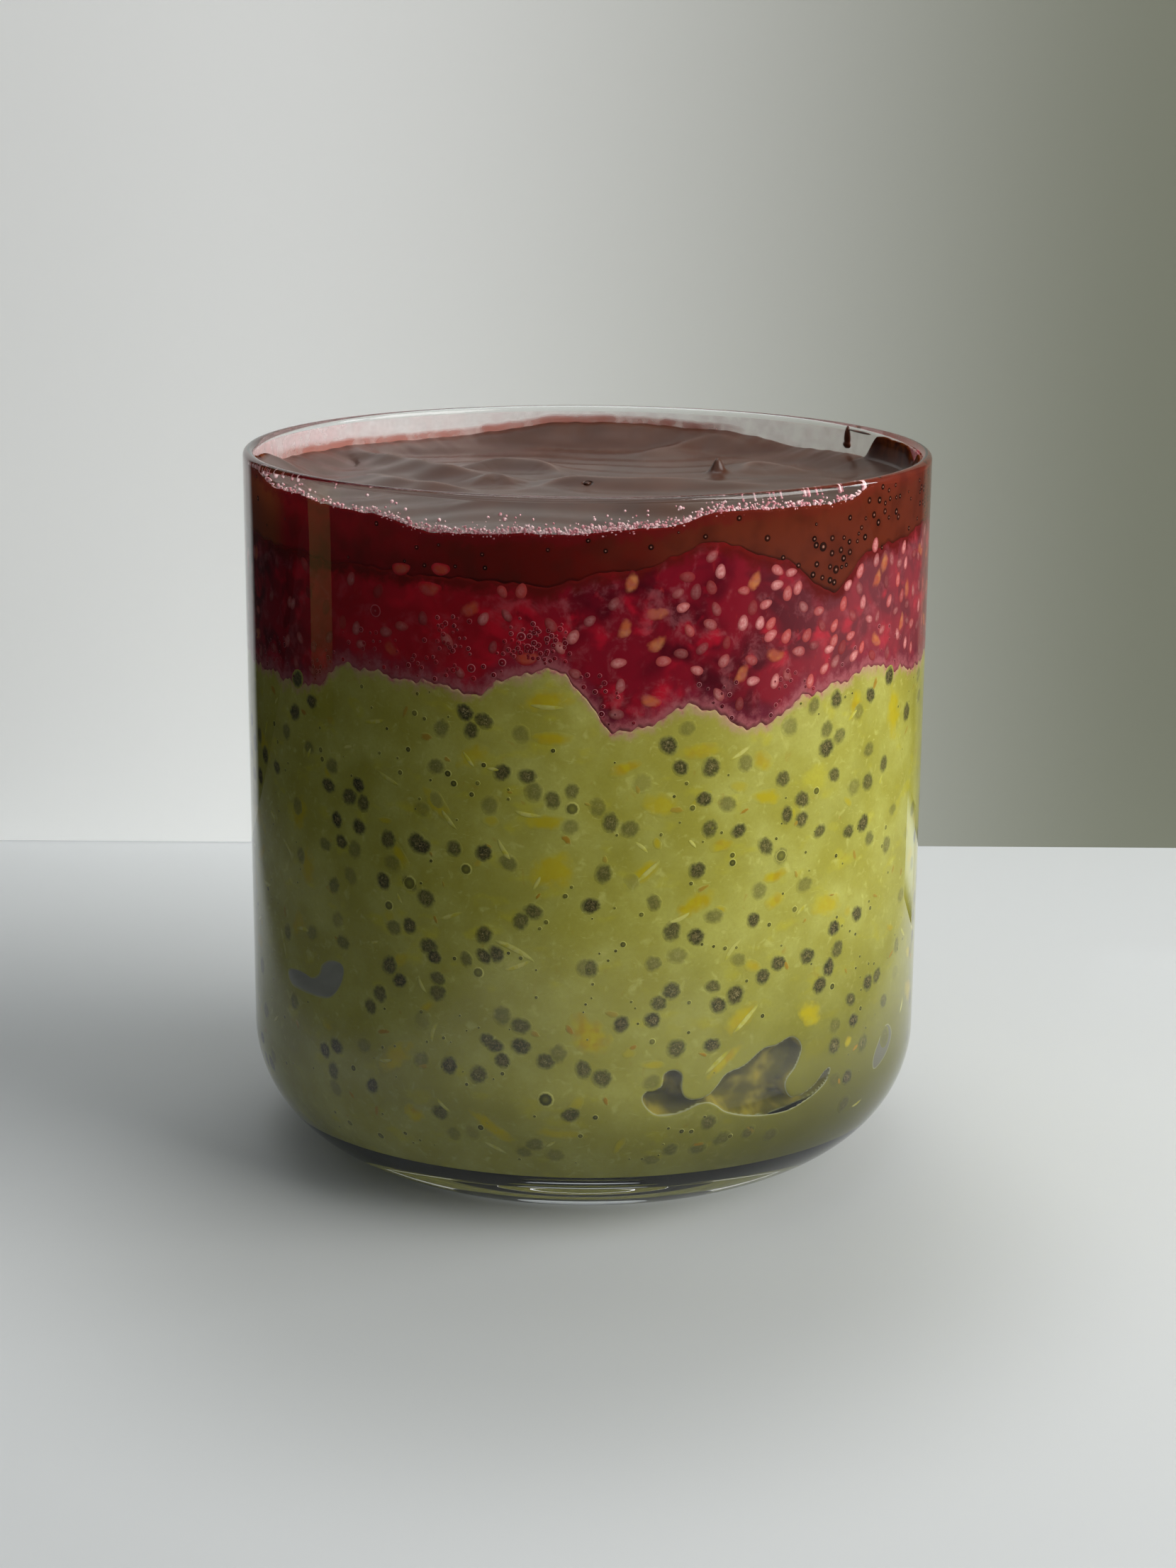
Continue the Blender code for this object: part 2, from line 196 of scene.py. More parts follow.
# Edge-on flakes that show as pale crescents: angle, height, half length, turn and bend.
SLIVERS = (
    (-33, 55.1, 1.9, -24, 0.1), (-22, 51.2, 1.7, -50, 0.12), (-9, 52.5, 1.8, -8, 0.2),
    (-21, 39.8, 1.2, 25, -0.1), (-6, 65.2, 2.2, -4, 0.1), (-7.5, 44.4, 1.1, 62, 0.1),
    (-22, 39.5, 1.4, 22, 0.0), (-11, 36.3, 3.0, -26, -0.2), (-10.5, 34.2, 1.9, 24, 0.2),
    (-15, 10.6, 2.0, -32, -0.1), (-31, 40.8, 0.8, -62, 0.1), (-27, 30.6, 1.3, -62, 0.3),
    (-25, 25.0, 1.6, 75, -0.4), (10, 45.8, 2.2, 42, 0.0), (27, 26.6, 2.8, 44, 0.1),
    (22, 21.8, 2.6, 40, 0.0), (-60.6, 30.3, 2.9, -68, 0.05),
)
# Air bubbles in the oats that stand out: angle, height and radius.
BUBBLES = (
    (-22, 56.7, 0.44), (-21, 55.6, 0.44), (-18, 54.5, 0.34), (-17, 55.9, 0.3), (-16, 58.1, 0.34),
    (-29, 59.0, 0.36), (-5, 60.2, 0.3), (-26, 62.9, 0.26), (-38, 65.6, 0.3), (-36, 63.3, 0.2),
    (-33, 61.1, 0.22), (-25, 55.7, 0.2), (-27, 53.3, 0.22), (-31, 57.8, 0.2), (-12, 55.4, 0.2),
    (-12, 54.3, 0.22), (-2, 44.1, 0.24), (-3, 43.0, 0.34), (-25, 46.0, 0.24), (-33, 39.7, 0.62),
    (24, 46.1, 0.48), (40, 53.2, 0.5), (16, 56.1, 0.28), (12, 50.2, 0.24), (17, 44.1, 0.28),
    (9, 40.7, 0.32), (32, 48.3, 0.22), (36, 39.2, 0.42), (45, 44.6, 0.3), (22, 49.9, 0.22),
    (5, 50.3, 0.2), (23, 56.7, 0.18), (15, 51.5, 0.18), (-17, 33.1, 0.66), (-6, 18.0, 0.95),
    (-21, 34.5, 0.28), (-12, 35.8, 0.24), (-10, 35.3, 0.26), (-6, 39.8, 0.32), (-7, 39.0, 0.24),
    (-17, 13.5, 0.44), (-13, 20.9, 0.28), (-19, 19.1, 0.24), (-23, 24.5, 0.24), (-26, 23.7, 0.2),
    (-27, 27.3, 0.28), (-41, 18.1, 0.44), (11, 25.1, 0.4), (31, 37.9, 0.32), (23, 35.8, 0.3),
    (19, 36.6, 0.22), (21, 36.2, 0.22), (25, 35.7, 0.22), (17, 29.6, 0.28), (2, 15.8, 0.36),
    (45, 28.2, 0.46), (27, 31.4, 0.24), (5, 36.4, 0.22), (17, 25.9, 0.24), (33, 46.1, 0.8),
    (-29, 42.9, 0.9), (-19, 45.5, 0.7), (-2, 53.4, 0.78), (-45, 9.6, 0.5), (-38, 9.0, 0.55),
)
# Raspberry seeds that show best: angle, height and turn. The soft ones: angle and height.
BERRY_SEEDS = (
    (29, 76.3, 20), (30, 74.0, 50), (25, 74.4, 80), (28, 74.2, 75), (27, 67.5, 5),
    (31, 67.2, 75), (38, 66.6, 80), (42, 70.0, 10), (33, 72.3, 60), (35, 77.8, 70),
    (31, 78.4, 10), (33, 77.3, 80), (30, 72.6, 30), (41, 67.8, 40), (15, 76.6, 20),
    (5, 70.4, 12), (12, 70.5, 5), (21, 80.5, 85), (31, 80.1, -30), (46, 77.2, 40),
    (50, 74.8, 80), (45, 75.1, 75), (43, 72.7, 60), (47, 71.1, 20), (49, 78.6, 60),
    (53, 81.3, 80), (63, 80.0, 70), (64, 78.0, 80), (61, 76.3, 85), (72, 71.8, 80),
    (68, 67.1, 85), (65, 68.1, 80), (48, 68.6, 30), (43, 70.9, 60), (50, 69.4, 70),
    (58, 74.1, 60), (-13, 78.3, -60), (-10, 78.5, 75), (-16, 75.1, 55), (-22, 72.3, -50),
    (-30, 73.4, -4), (-39, 72.4, 75), (-42, 72.8, 80), (-38, 70.6, 10), (-2, 73.4, 60),
    (-4, 72.1, -55), (-40, 78.1, 70), (-33, 72.5, 5), (-55, 73.6, 60), (-53, 69.7, -50),
    (-57, 68.9, 60), (-56, 73.7, 70),
)
SOFT_SEEDS = (
    (7, 79.6, 75), (27, 79.1, 60), (6, 74.3, 70), (11, 72.5, 35), (31, 70.2, -10),
    (25, 68.4, 55), (54, 69.8, -40), (56, 78.9, 70), (65, 74.8, 80), (63, 70.9, 70),
    (54, 77.2, 60), (11, 75.9, 0), (10, 65.9, -20), (-18, 76.1, 35), (-30, 80.0, 5),
    (-23, 80.4, 0), (-25, 78.0, 0), (-32, 70.6, -35), (-9, 70.8, 10),
)
BERRY_RINGS = (
    (-35, 74.8, 0.75), (-9, 72.1, 0.4), (-6, 73.1, 0.35), (-4, 74.3, 0.35), (-12, 71.7, 0.3),
    (-8, 73.8, 0.3), (-5, 72.4, 0.3), (-13, 70.2, 0.45), (-18, 69.3, 0.5), (-10, 73.3, 0.5),
    (-16, 69.6, 0.3), (-21, 68.9, 0.35), (-42, 68.4, 0.3), (-8, 72.6, 0.35), (-7, 71.4, 0.3),
)
CHOCOLATE_RINGS = (
    (40, 82.2, 0.5), (42, 81.3, 0.35), (43, 79.3, 0.45), (38, 79.1, 0.35), (35, 80.4, 0.3),
    (29, 83.9, 0.35), (46, 82.3, 0.3), (50, 82.5, 0.35), (40, 78.6, 0.3), (46, 85.1, 0.3),
    (49, 83.7, 0.28), (32, 81.5, 0.28), (48, 82.2, 0.25), (55, 80.8, 0.25),
)


# Where scattered pieces may lie, as spans of angles
FRONT = ((-66, 70),)
SIDES_AND_BACK = ((-180, -66), (70, 180))
ALL_ROUND = ((-180, 180),)


# Shapes

def smoothstep(share):
    share = np.clip(share, 0.0, 1.0)
    return share * share * (3 - 2 * share)


def edge_height(edge, angle):
    """Height at each angle on the closed line through the edge's points, eased between them."""
    points = np.array(sorted(edge), float)
    around = np.vstack([points[-1] - (360, 0), points, points[0] + (360, 0)])
    angle = (np.asarray(angle, float) + 180) % 360 - 180
    after = np.clip(np.searchsorted(around[:, 0], angle), 1, len(around) - 1)
    low, high = around[after - 1], around[after]
    share = smoothstep((angle - low[..., 0]) / (high[..., 0] - low[..., 0]))
    return low[..., 1] + (high[..., 1] - low[..., 1]) * share


def waves(angle, seed, size, count, first):
    """A closed wavering line of random waves, for the fine unevenness of a layer's edge."""
    draw = np.random.default_rng(seed)
    total = np.zeros_like(np.asarray(angle, float))
    for i in range(count):
        turns = first * (1.35 ** i)
        phase = draw.uniform(0, 2 * math.pi)
        swing = draw.uniform(0.4, 1) / 1.35 ** (i * 0.4)
        total += np.sin(np.radians(angle) * round(turns) + phase) * swing
    return total * size


def oats_edge(angle):
    return edge_height(OATS_EDGE, angle) + waves(angle, 11, 0.25, 8, 28)


def berry_edge(angle):
    return edge_height(BERRY_EDGE, angle) + waves(angle, 12, 0.16, 8, 20)


def chocolate_edge(angle):
    return edge_height(CHOCOLATE_EDGE, angle) + waves(angle, 13, 0.05, 8, 18)


def wall_point(angle, height, out=0.0):
    """A point on the food's side, also round its bottom corner, set out along the surface."""
    turn = np.clip((CORNER_TOP - height) / CORNER, 0, math.pi / 2)
    lifted = FLOOR_LIFT * smoothstep((np.degrees(turn) - LIFT_FROM) / LIFT_OVER)
    corner = CORNER + out - lifted
    radius = FLOOR_RADIUS + corner * np.cos(turn)
    z = np.where(height < CORNER_TOP, CORNER_TOP - corner * np.sin(turn), height)
    around = np.radians(angle)
    x, y, z = np.broadcast_arrays(radius * np.sin(around), -radius * np.cos(around), z)
    return np.stack([x, y, z], axis=-1)


def new_piece(name, points, faces, finish, smooth=True, attributes=None):
    """A mesh piece from points in millimetres and arrays of faces of three or four corners."""
    mesh = bpy.data.meshes.new(name)
    points = np.asarray(points, np.float64) * MM
    if isinstance(faces, np.ndarray):
        faces = [faces]
    corners = np.concatenate([f.reshape(-1) for f in faces]).astype(np.int32)
    sizes = np.concatenate([np.full(len(f), f.shape[1]) for f in faces])
    starts = np.concatenate([[0], np.cumsum(sizes)[:-1]]).astype(np.int32)
    mesh.vertices.add(len(points))
    mesh.vertices.foreach_set("co", points.reshape(-1))
    mesh.loops.add(len(corners))
    mesh.loops.foreach_set("vertex_index", corners)
    mesh.polygons.add(len(sizes))
    mesh.polygons.foreach_set("loop_start", starts)
    mesh.update(calc_edges=True)
    mesh.polygons.foreach_set("use_smooth", np.full(len(sizes), smooth))
    for attribute, values in (attributes or {}).items():
        layer = mesh.attributes.new(attribute, "FLOAT", "POINT")
        layer.data.foreach_set("value", np.asarray(values, np.float32).reshape(-1))
    mesh.materials.append(finish)
    mesh.validate()
    obj = bpy.data.objects.new(name, mesh)
    bpy.context.scene.collection.objects.link(obj)
    return obj


def grid_faces(rows, columns, closed, first=0):
    """Quads of a grid of points stored row by row, its columns joined round when closed."""
    row = np.arange(rows - 1)[:, None]
    column = np.arange(columns if closed else columns - 1)[None, :]
    a = first + row * columns + column
    b = first + row * columns + (column + 1) % columns
    return np.stack([a, a + columns, b + columns, b], axis=-1).reshape(-1, 4)


def fan(ring, centre, flip=False):
    """Triangles from a closed ring of point numbers to one centre point."""
    after = np.roll(ring, -1)
    middle = np.full(len(ring), centre)
    return np.stack([ring, middle, after] if flip else [ring, after, middle], axis=-1)


def revolved(name, profile, finish, around=288):
    """A closed solid turned from a profile that starts and ends on the axis, inside first."""
    profile = np.asarray(profile, float)
    angle = np.arange(around) * 2 * math.pi / around
    rings = profile[1:-1]
    x = rings[:, 0][:, None] * np.sin(angle)
    y = -rings[:, 0][:, None] * np.cos(angle)
    z = np.broadcast_to(rings[:, 1][:, None], x.shape)
    points = np.stack([x, y, z], axis=-1).reshape(-1, 3)
    points = np.vstack([points, [0, 0, profile[0, 1]], [0, 0, profile[-1, 1]]])
    sides = grid_faces(len(rings), around, True)
    top = fan(np.arange(around), len(points) - 2, flip=True)
    last = fan(np.arange(around) + (len(rings) - 1) * around, len(points) - 1)
    return new_piece(name, points, [sides, top, last], finish)


def arc(centre, radius, start, end, steps):
    turns = np.radians(np.linspace(start, end, steps + 1))
    return [(centre[0] + radius * math.cos(t), centre[1] + radius * math.sin(t)) for t in turns]


def smooth_line(points, closed):
    """The points with four more set smoothly between each two."""
    points = np.array(points, float)
    count, smooth = len(points), []
    for i in range(count if closed else count - 1):
        steps = [i + j if closed else min(max(i + j, 0), count - 1) for j in (-1, 0, 1, 2)]
        a, b, c, d = (points[step % count] for step in steps)
        for t in np.linspace(0, 1, 5, endpoint=False):
            bend = 2 * a - 5 * b + 4 * c - d + t * (3 * (b - c) + d - a)
            smooth.append(b + 0.5 * t * (c - a + t * bend))
    return np.array(smooth if closed else [*smooth, points[-1]])


def nearest_on(ax, ay, bx, by, x, y):
    """The share along the line from a to b that lies nearest each point, and its distance."""
    run = (bx - ax) ** 2 + (by - ay) ** 2
    share = np.clip(((x - ax) * (bx - ax) + (y - ay) * (by - ay)) / run, 0, 1)
    return share, np.hypot(x - ax - share * (bx - ax), y - ay - share * (by - ay))


def outline_distance(outline, angle, height):
    """Signed distance to a smooth closed outline on the wall, positive inside it."""
    smooth = smooth_line(np.array(outline, float) * (math.radians(1) * FOOD_RADIUS, 1), True)
    across, up = np.radians(angle) * FOOD_RADIUS, height
    nearest = np.full(np.shape(across), np.inf)
    inside = np.zeros(np.shape(across), bool)
    for (ax, ay), (bx, by) in zip(smooth, np.roll(smooth, -1, axis=0)):
        nearest = np.minimum(nearest, nearest_on(ax, ay, bx, by, across, up)[1])
        if ay != by:
            crossing = (ay > up) != (by > up)
            inside ^= crossing & (across < (bx - ax) * (up - ay) / (by - ay) + ax)
    return np.where(inside, nearest, -nearest)


def scattered(seed, count, gap, low, high, spans, taken=(), cluster=1, spread=2.6):
    """Random places on the wall, gap apart and away from those taken, loosely clustered."""
    draw = np.random.default_rng(seed)
    placed = [tuple(place[:2]) for place in taken]
    found = []
    widths = np.array([b - a for a, b in spans], float)
    for _ in range(count * 30):
        if len(found) >= count:
            break
        span = spans[draw.choice(len(spans), p=widths / widths.sum())]
        middle = np.array([draw.uniform(*span), 0.0])
        bottom, top = low(middle[0]), high(middle[0])
        middle[1] = draw.uniform(bottom, top)
        for _ in range(draw.integers(1, cluster + 1)):
            reach = draw.normal(0, spread if cluster > 1 else 0.01, 2)
            angle = middle[0] + math.degrees(reach[0] / FOOD_RADIUS)
            height = middle[1] + reach[1]
            if not any(a <= angle <= b for a, b in spans) or not low(angle) <= height <= high(angle):
                continue
            others = np.array(placed) if placed else np.full((1, 2), 999.0)
            apart = np.hypot(np.radians(others[:, 0] - angle) * FOOD_RADIUS, others[:, 1] - height)
            if apart.min() >= gap:
                placed.append((angle, height))
                found.append((angle, height))
    return np.array(found)


def lenses(name, finish, places, length, width, turn, depth, proud, around=14, bend=0.0, taper=0.0,
           wobble=0.0, seed=1, attributes=None):
    """Flattened closed solids sunk in the food's side, one at each place, joined in one piece.

    length and width are halves, turn is the length's angle from level in degrees, and depth is how
    far each reaches into the food. Attribute reach is 0 at each middle and 1 at its edge.
    """
    draw = np.random.default_rng(seed)
    places = np.asarray(places, float)
    count = len(places)
    measures = (length, width, turn, depth, proud, bend)
    length, width, turn, depth, proud, bend = (
        np.broadcast_to(np.asarray(value, float), (count,))[:, None] for value in measures
    )
    round_ = np.arange(around) * 2 * math.pi / around
    uneven = np.ones((count, around))
    for turns in (2, 3, 5):
        phase = draw.uniform(0, 2 * math.pi, (count, 1))
        uneven += wobble / turns ** 0.5 * draw.uniform(0.3, 1, (count, 1)) * np.sin(turns * round_ + phase)
    layers = (
        (0.0, 1.0, 0.0), (0.35, 0.9, 0.0), (0.62, 0.62, 0.0), (0.84, 0.2, 0.0), (1.0, None, 0.0),
        (0.8, 0.0, 0.55), (0.45, 0.0, 0.9), (0.0, 0.0, 1.0),
    )
    points, reaches = [], []
    for share, out, inwards in layers:
        steps = round_ if share else round_[:1]
        along = share * length * np.cos(steps) * uneven[:, :len(steps)]
        across = share * width * np.sin(steps) * uneven[:, :len(steps)] * (1 - taper * np.cos(steps))
        across = across + bend * along ** 2 / length
        t = np.radians(turn)
        angle = places[:, :1] + np.degrees((along * np.cos(t) - across * np.sin(t)) / FOOD_RADIUS)
        height = places[:, 1:2] + along * np.sin(t) + across * np.cos(t)
        level = -RIM_SUNK if out is None else out * proud
        points.append(wall_point(angle, height, level - inwards * depth))
        reaches.append(np.full((count, len(steps)), share if not inwards else 1.0))
    stacked = np.concatenate(points, axis=1)
    size = stacked.shape[1]
    ring = np.arange(around)
    faces = [fan(1 + ring, 0)]
    for level in range(5):
        a, b = 1 + level * around + ring, 1 + (level + 1) * around + ring
        after = np.roll(ring, -1) - ring
        quads = np.stack([a, b, b + after, a + after], axis=-1)
        faces.append(quads[:, [0, 1, 2]])
        faces.append(quads[:, [0, 2, 3]])
    faces.append(fan(1 + 5 * around + ring, size - 1, flip=True))
    one = np.concatenate(faces)[:, ::-1]
    every = (one[None] + (np.arange(count) * size)[:, None, None]).reshape(-1, 3)
    values = {"reach": np.concatenate(reaches, axis=1).reshape(-1)}
    for key, value in (attributes or {}).items():
        values[key] = np.repeat(np.broadcast_to(np.asarray(value, float), (count,)), size)
    return new_piece(name, stacked.reshape(-1, 3), every, finish, attributes=values)


def belongs(piece):
    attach(piece, "root")


def stands_for(piece, node):
    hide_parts(node)
    belongs(piece)


# Materials

class Tree:
    """Adds shader nodes, with each input given as a value or as another node's output."""

    def __init__(self, tree):
        self.tree = tree
        self.shader = tree.nodes.get("Principled BSDF")

    def put(self, socket, value):
        if isinstance(value, bpy.types.NodeSocket):
            self.tree.links.new(value, socket)
        else:
            socket.default_value = value

    def node(self, kind, inputs=None, **settings):
        made = self.tree.nodes.new(kind)
        for name, value in settings.items():
            setattr(made, name, value)
        for key, value in (inputs or {}).items():
            self.put(made.inputs[key], value)
        return made

    def feed(self, **inputs):
        """Sets or links the Principled shader's inputs, named with underscores for spaces."""
        for name, value in inputs.items():
            self.put(self.shader.inputs[name.replace("_", " ")], value)

    def surface(self, factor, first, second):
        """Shows the first shader where the factor is 0 and the second where it is 1."""
        mixed = self.node("ShaderNodeMixShader", {0: factor, 1: first.outputs[0], 2: second.outputs[0]})
        self.put(self.tree.nodes["Material Output"].inputs["Surface"], mixed.outputs[0])

    def math(self, operation, a, b=0.0, clamp=False):
        return self.node("ShaderNodeMath", {0: a, 1: b}, operation=operation, use_clamp=clamp).outputs[0]

    def times(self, a, b):
        return self.math("MULTIPLY", a, b)

    def mix(self, factor, a, b):
        made = self.node("ShaderNodeMix", data_type="RGBA")
        for key, kind, value in (("Factor", "VALUE", factor), ("A", "RGBA", a), ("B", "RGBA", b)):
            socket = next(s for s in made.inputs if s.name == key and s.type == kind)
            self.put(socket, (*value, 1) if isinstance(value, tuple) else value)
        return next(s for s in made.outputs if s.type == "RGBA")

    def ramp(self, factor, low, high, to_low=0.0, to_high=1.0):
        """A smooth step of factor from low to high."""
        return self.node(
            "ShaderNodeMapRange",
            {"Value": factor, "From Min": low, "From Max": high, "To Min": to_low, "To Max": to_high},
            interpolation_type="SMOOTHSTEP",
        ).outputs["Result"]

    def place(self):
        return self.node("ShaderNodeTexCoord").outputs["Object"]

    def along(self, axis):
        """The place along one axis, in metres."""
        return self.node("ShaderNodeSeparateXYZ", {0: self.place()}).outputs[axis]

    def away(self, point):
        """The distance from a point, in metres."""
        inputs = {0: self.place(), 1: point}
        return self.node("ShaderNodeVectorMath", inputs, operation="DISTANCE").outputs["Value"]

    def noise(self, size, detail=2.0, stretch=(1, 1, 1), shift=0.0, roughness=0.5, distortion=0.0):
        """Noise in object space whose features are about size millimetres, from 0 to 1."""
        scale = [1 / (size * MM * s) for s in stretch]
        inputs = {"Vector": self.place(), "Location": (shift, shift, shift), "Scale": scale}
        mapped = self.node("ShaderNodeMapping", inputs).outputs[0]
        inputs = {"Vector": mapped, "Scale": 1.0, "Detail": detail, "Roughness": roughness}
        return self.node("ShaderNodeTexNoise", {**inputs, "Distortion": distortion}).outputs["Fac"]

    def mottle(self, colour, other, size, low, high, most=1.0, **noise):
        """The colour with patches of another, where noise of that size rises from low to high."""
        return self.mix(self.ramp(self.noise(size, **noise), low, high, 0, most), colour, other)

    def attribute(self, name):
        return self.node("ShaderNodeAttribute", attribute_name=name).outputs["Fac"]

    def group(self, group):
        return self.node("ShaderNodeGroup", node_tree=group).outputs["Color"]


def colour_group(name, build):
    """A node group with one colour output, so that pieces sunk in a food share its colour."""
    group = bpy.data.node_groups.new(name, "ShaderNodeTree")
    group.interface.new_socket("Color", in_out="OUTPUT", socket_type="NodeSocketColor")
    tree = Tree(group)
    out = group.nodes.new("NodeGroupOutput")
    group.links.new(build(tree), out.inputs["Color"])
    return group


def principled(name, **inputs):
    """A new material and its tree, with the Principled shader's inputs set."""
    made = bpy.data.materials.new(name)
    made.use_nodes = True
    tree = Tree(made.node_tree)
    tree.feed(**inputs)
    return made, tree


def finish(name, roughness, specular=0.0):
    """Turns a function that gives a colour into one that makes the material of that colour."""
    def turned(build):
        def make():
            made, tree = principled(name, Roughness=roughness, Specular_IOR_Level=specular)
            tree.feed(Base_Color=build(tree))
            return made
        return make
    return turned


MATCHA_GREEN = (0.335, 0.315, 0.050)
MATCHA_PALE = (0.43, 0.42, 0.105)
MATCHA_DEEP = (0.22, 0.21, 0.03)
MATCHA_PAINTED_SHADE = (0.125, 0.120, 0.018)
OAT_YELLOW = (0.47, 0.425, 0.032)
OAT_CREAM = (0.56, 0.54, 0.17)
BRAN = (0.34, 0.18, 0.016)
FLAKE_GOLD = (0.44, 0.36, 0.012)
CHIA_DARK = (0.030, 0.029, 0.013)
CHIA_BROWN = (0.15, 0.115, 0.052)
CHIA_LINE = (0.36, 0.29, 0.15)
CHIA_GREY = (0.125, 0.132, 0.045)
BERRY_CRIMSON = (0.20, 0.004, 0.014)
BERRY_DARK = (0.065, 0.001, 0.006)
BERRY_BRIGHT = (0.44, 0.006, 0.022)
BERRY_CLEAR_PAINTED_GLOW = (0.55, 0.006, 0.016)
BERRY_PURPLE = (0.17, 0.018, 0.040)
BERRY_MILK = (0.37, 0.11, 0.125)
MIST = (0.47, 0.29, 0.20)
SEED_PINK = (0.60, 0.20, 0.20)
SEED_CREAM = (0.72, 0.36, 0.34)
SEED_PAINTED_EDGE_SHADE = (0.40, 0.10, 0.10)
SEED_ORANGE = (0.50, 0.13, 0.045)
SEED_AMBER = (0.60, 0.25, 0.085)
SEED_RED = (0.42, 0.03, 0.02)
CHOCOLATE_DARK = (0.054, 0.017, 0.008)
CHOCOLATE_LIGHT = (0.078, 0.028, 0.015)
CHOCOLATE_PAINTED_SHEEN = (0.24, 0.15, 0.12)
CHOCOLATE_MILK = (0.118, 0.021, 0.009)
CHOCOLATE_SHADE = (0.045, 0.008, 0.004)
CHOCOLATE_EDGE_ON = (0.21, 0.042, 0.012)
DRIP_DARK = (0.035, 0.008, 0.003)
DRIP_BROWN = (0.10, 0.022, 0.006)
SMEAR_DARK = (0.040, 0.007, 0.003)
SMEAR_BROWN = (0.115, 0.026, 0.006)
JUICE_RED = (0.14, 0.004, 0.007)
JUICE_DEEP = (0.23, 0.007, 0.011)
MAROON = (0.100, 0.005, 0.003)
POCKET_DARK = (0.070, 0.060, 0.006)
POCKET_GREY = (0.145, 0.140, 0.105)
POCKET_PALE = (0.29, 0.295, 0.265)
POCKET_LUMP = (0.36, 0.28, 0.025)
POCKET_RIM = (0.31, 0.32, 0.22)
BUBBLE_PAINTED_SHADE = (0.035, 0.036, 0.012)
BUBBLE_RING_PAINTED_SHADE = (0.006, 0.002, 0.001)
BUBBLE_PAINTED_LIGHT_PINK = (0.50, 0.22, 0.24)
BUBBLE_PAINTED_GLINT_BROWN = (0.42, 0.26, 0.20)
FOAM_PINK = (0.58, 0.22, 0.25)
FOAM_WHITE = (0.85, 0.60, 0.61)
FILM_PINK = (0.72, 0.50, 0.50)
FILM_RED = (0.46, 0.15, 0.11)
FILM_MAGENTA = (0.45, 0.05, 0.09)


def matcha_colour(tree):
    colour = tree.mottle(MATCHA_GREEN, MATCHA_PALE, 6, 0.3, 0.75, detail=3)
    colour = tree.mottle(colour, MATCHA_DEEP, 12, 0.5, 0.75, 0.3, detail=1, shift=3.1)
    colour = tree.mottle(colour, OAT_YELLOW, 3.4, 0.57, 0.74, 0.55, stretch=(1.3, 1.3, 0.8), shift=7.7)
    colour = tree.mottle(colour, OAT_CREAM, 1.3, 0.56, 0.76, 0.5, detail=4, shift=1.9, distortion=0.6)
    colour = tree.mottle(colour, BRAN, 1.9, 0.66, 0.8, 0.4, detail=3, shift=15.2, distortion=0.8)
    threads = tree.noise(0.55, 3, stretch=(2.5, 2.5, 0.8), shift=21.3, distortion=1.2)
    colour = tree.mix(tree.ramp(threads, 0.62, 0.78, 0, 0.45), colour, OAT_CREAM)
    grain = tree.noise(0.4, 3, shift=5.5, roughness=0.7, distortion=0.5)
    colour = tree.mix(tree.ramp(grain, 0.35, 0.7, 0, 0.16), colour, MATCHA_DEEP)
    # Painted shade: the oats darken towards the bottom, most towards the right.
    low = tree.ramp(tree.along("Z"), 0.013, 0.040, 1, 0)
    painted_shade_low_right = tree.times(low, tree.ramp(tree.along("X"), 0.002, 0.030, 0.2, 0.95))
    return tree.mix(painted_shade_low_right, colour, MATCHA_PAINTED_SHADE)


def berry_colour(tree):
    """Mottled crimson, clear red at the left, brightened there as painted light, and milky at the right."""
    colour = tree.mottle(BERRY_CRIMSON, BERRY_DARK, 5.5, 0.4, 0.62, distortion=0.6)
    colour = tree.mottle(colour, BERRY_BRIGHT, 3.8, 0.52, 0.7, 0.9, detail=3, shift=4.4, distortion=0.3)
    haze = tree.noise(2.6, 5, shift=2.2, roughness=0.65, distortion=0.4)
    colour = tree.mix(tree.ramp(haze, 0.5, 0.72, 0, 0.42), colour, BERRY_MILK)
    across = tree.along("X")
    # The mash is clearer at the left and painted brighter there, as painted light glowing through it.
    left = tree.times(tree.ramp(across, -0.038, -0.028, 0.1, 1), tree.ramp(across, -0.018, 0.002, 0.5, 0))
    colour = tree.mix(left, colour, BERRY_CLEAR_PAINTED_GLOW)
    colour = tree.mix(tree.ramp(across, 0.014, 0.034, 0, 0.3), colour, BERRY_MILK)
    fibres = tree.noise(0.9, 3, stretch=(1, 1, 2.6), shift=9.2, distortion=1.4)
    return tree.mix(tree.ramp(fibres, 0.64, 0.8, 0, 0.4), colour, SEED_RED)


def chocolate_side(tree):
    """The chocolate's colour behind the glass: dark and red with juice, but brown to the right."""
    across = tree.times(tree.along("X"), 1 / MM)
    uneven = tree.math("ADD", across, tree.times(tree.noise(6, shift=2.7), 14))
    left = tree.mix(tree.ramp(uneven, -26, -2), JUICE_DEEP, MAROON)
    colour = tree.mix(tree.ramp(uneven, 6, 22), left, CHOCOLATE_MILK)
    colour = tree.mottle(colour, CHOCOLATE_SHADE, 3.2, 0.4, 0.7, 0.4, shift=6.6)
    return tree.mix(tree.ramp(across, -37, -34.5, 1, 0), colour, CHOCOLATE_EDGE_ON)


MATCHA = colour_group("matcha colour", matcha_colour)
BERRY = colour_group("berry colour", berry_colour)
CHOCOLATE = colour_group("chocolate behind glass", chocolate_side)


def soft(tree, ragged, low, high, size, shift=0.0, detail=2.0):
    """How much of a sunk piece shows: all in its middle, ragged and faint towards its edge."""
    uneven = tree.math("SUBTRACT", tree.noise(size, detail, shift=shift), 0.5)
    reach = tree.math("ADD", tree.attribute("reach"), tree.times(uneven, ragged))
    return tree.times(tree.ramp(reach, low, high, 1, 0), tree.attribute("strength"))


def band(tree, value, rise, fall):
    """1 where the value lies between its rise and its fall, each given as a start and an end."""
    return tree.times(tree.ramp(value, *rise), tree.ramp(value, *fall, 1, 0))


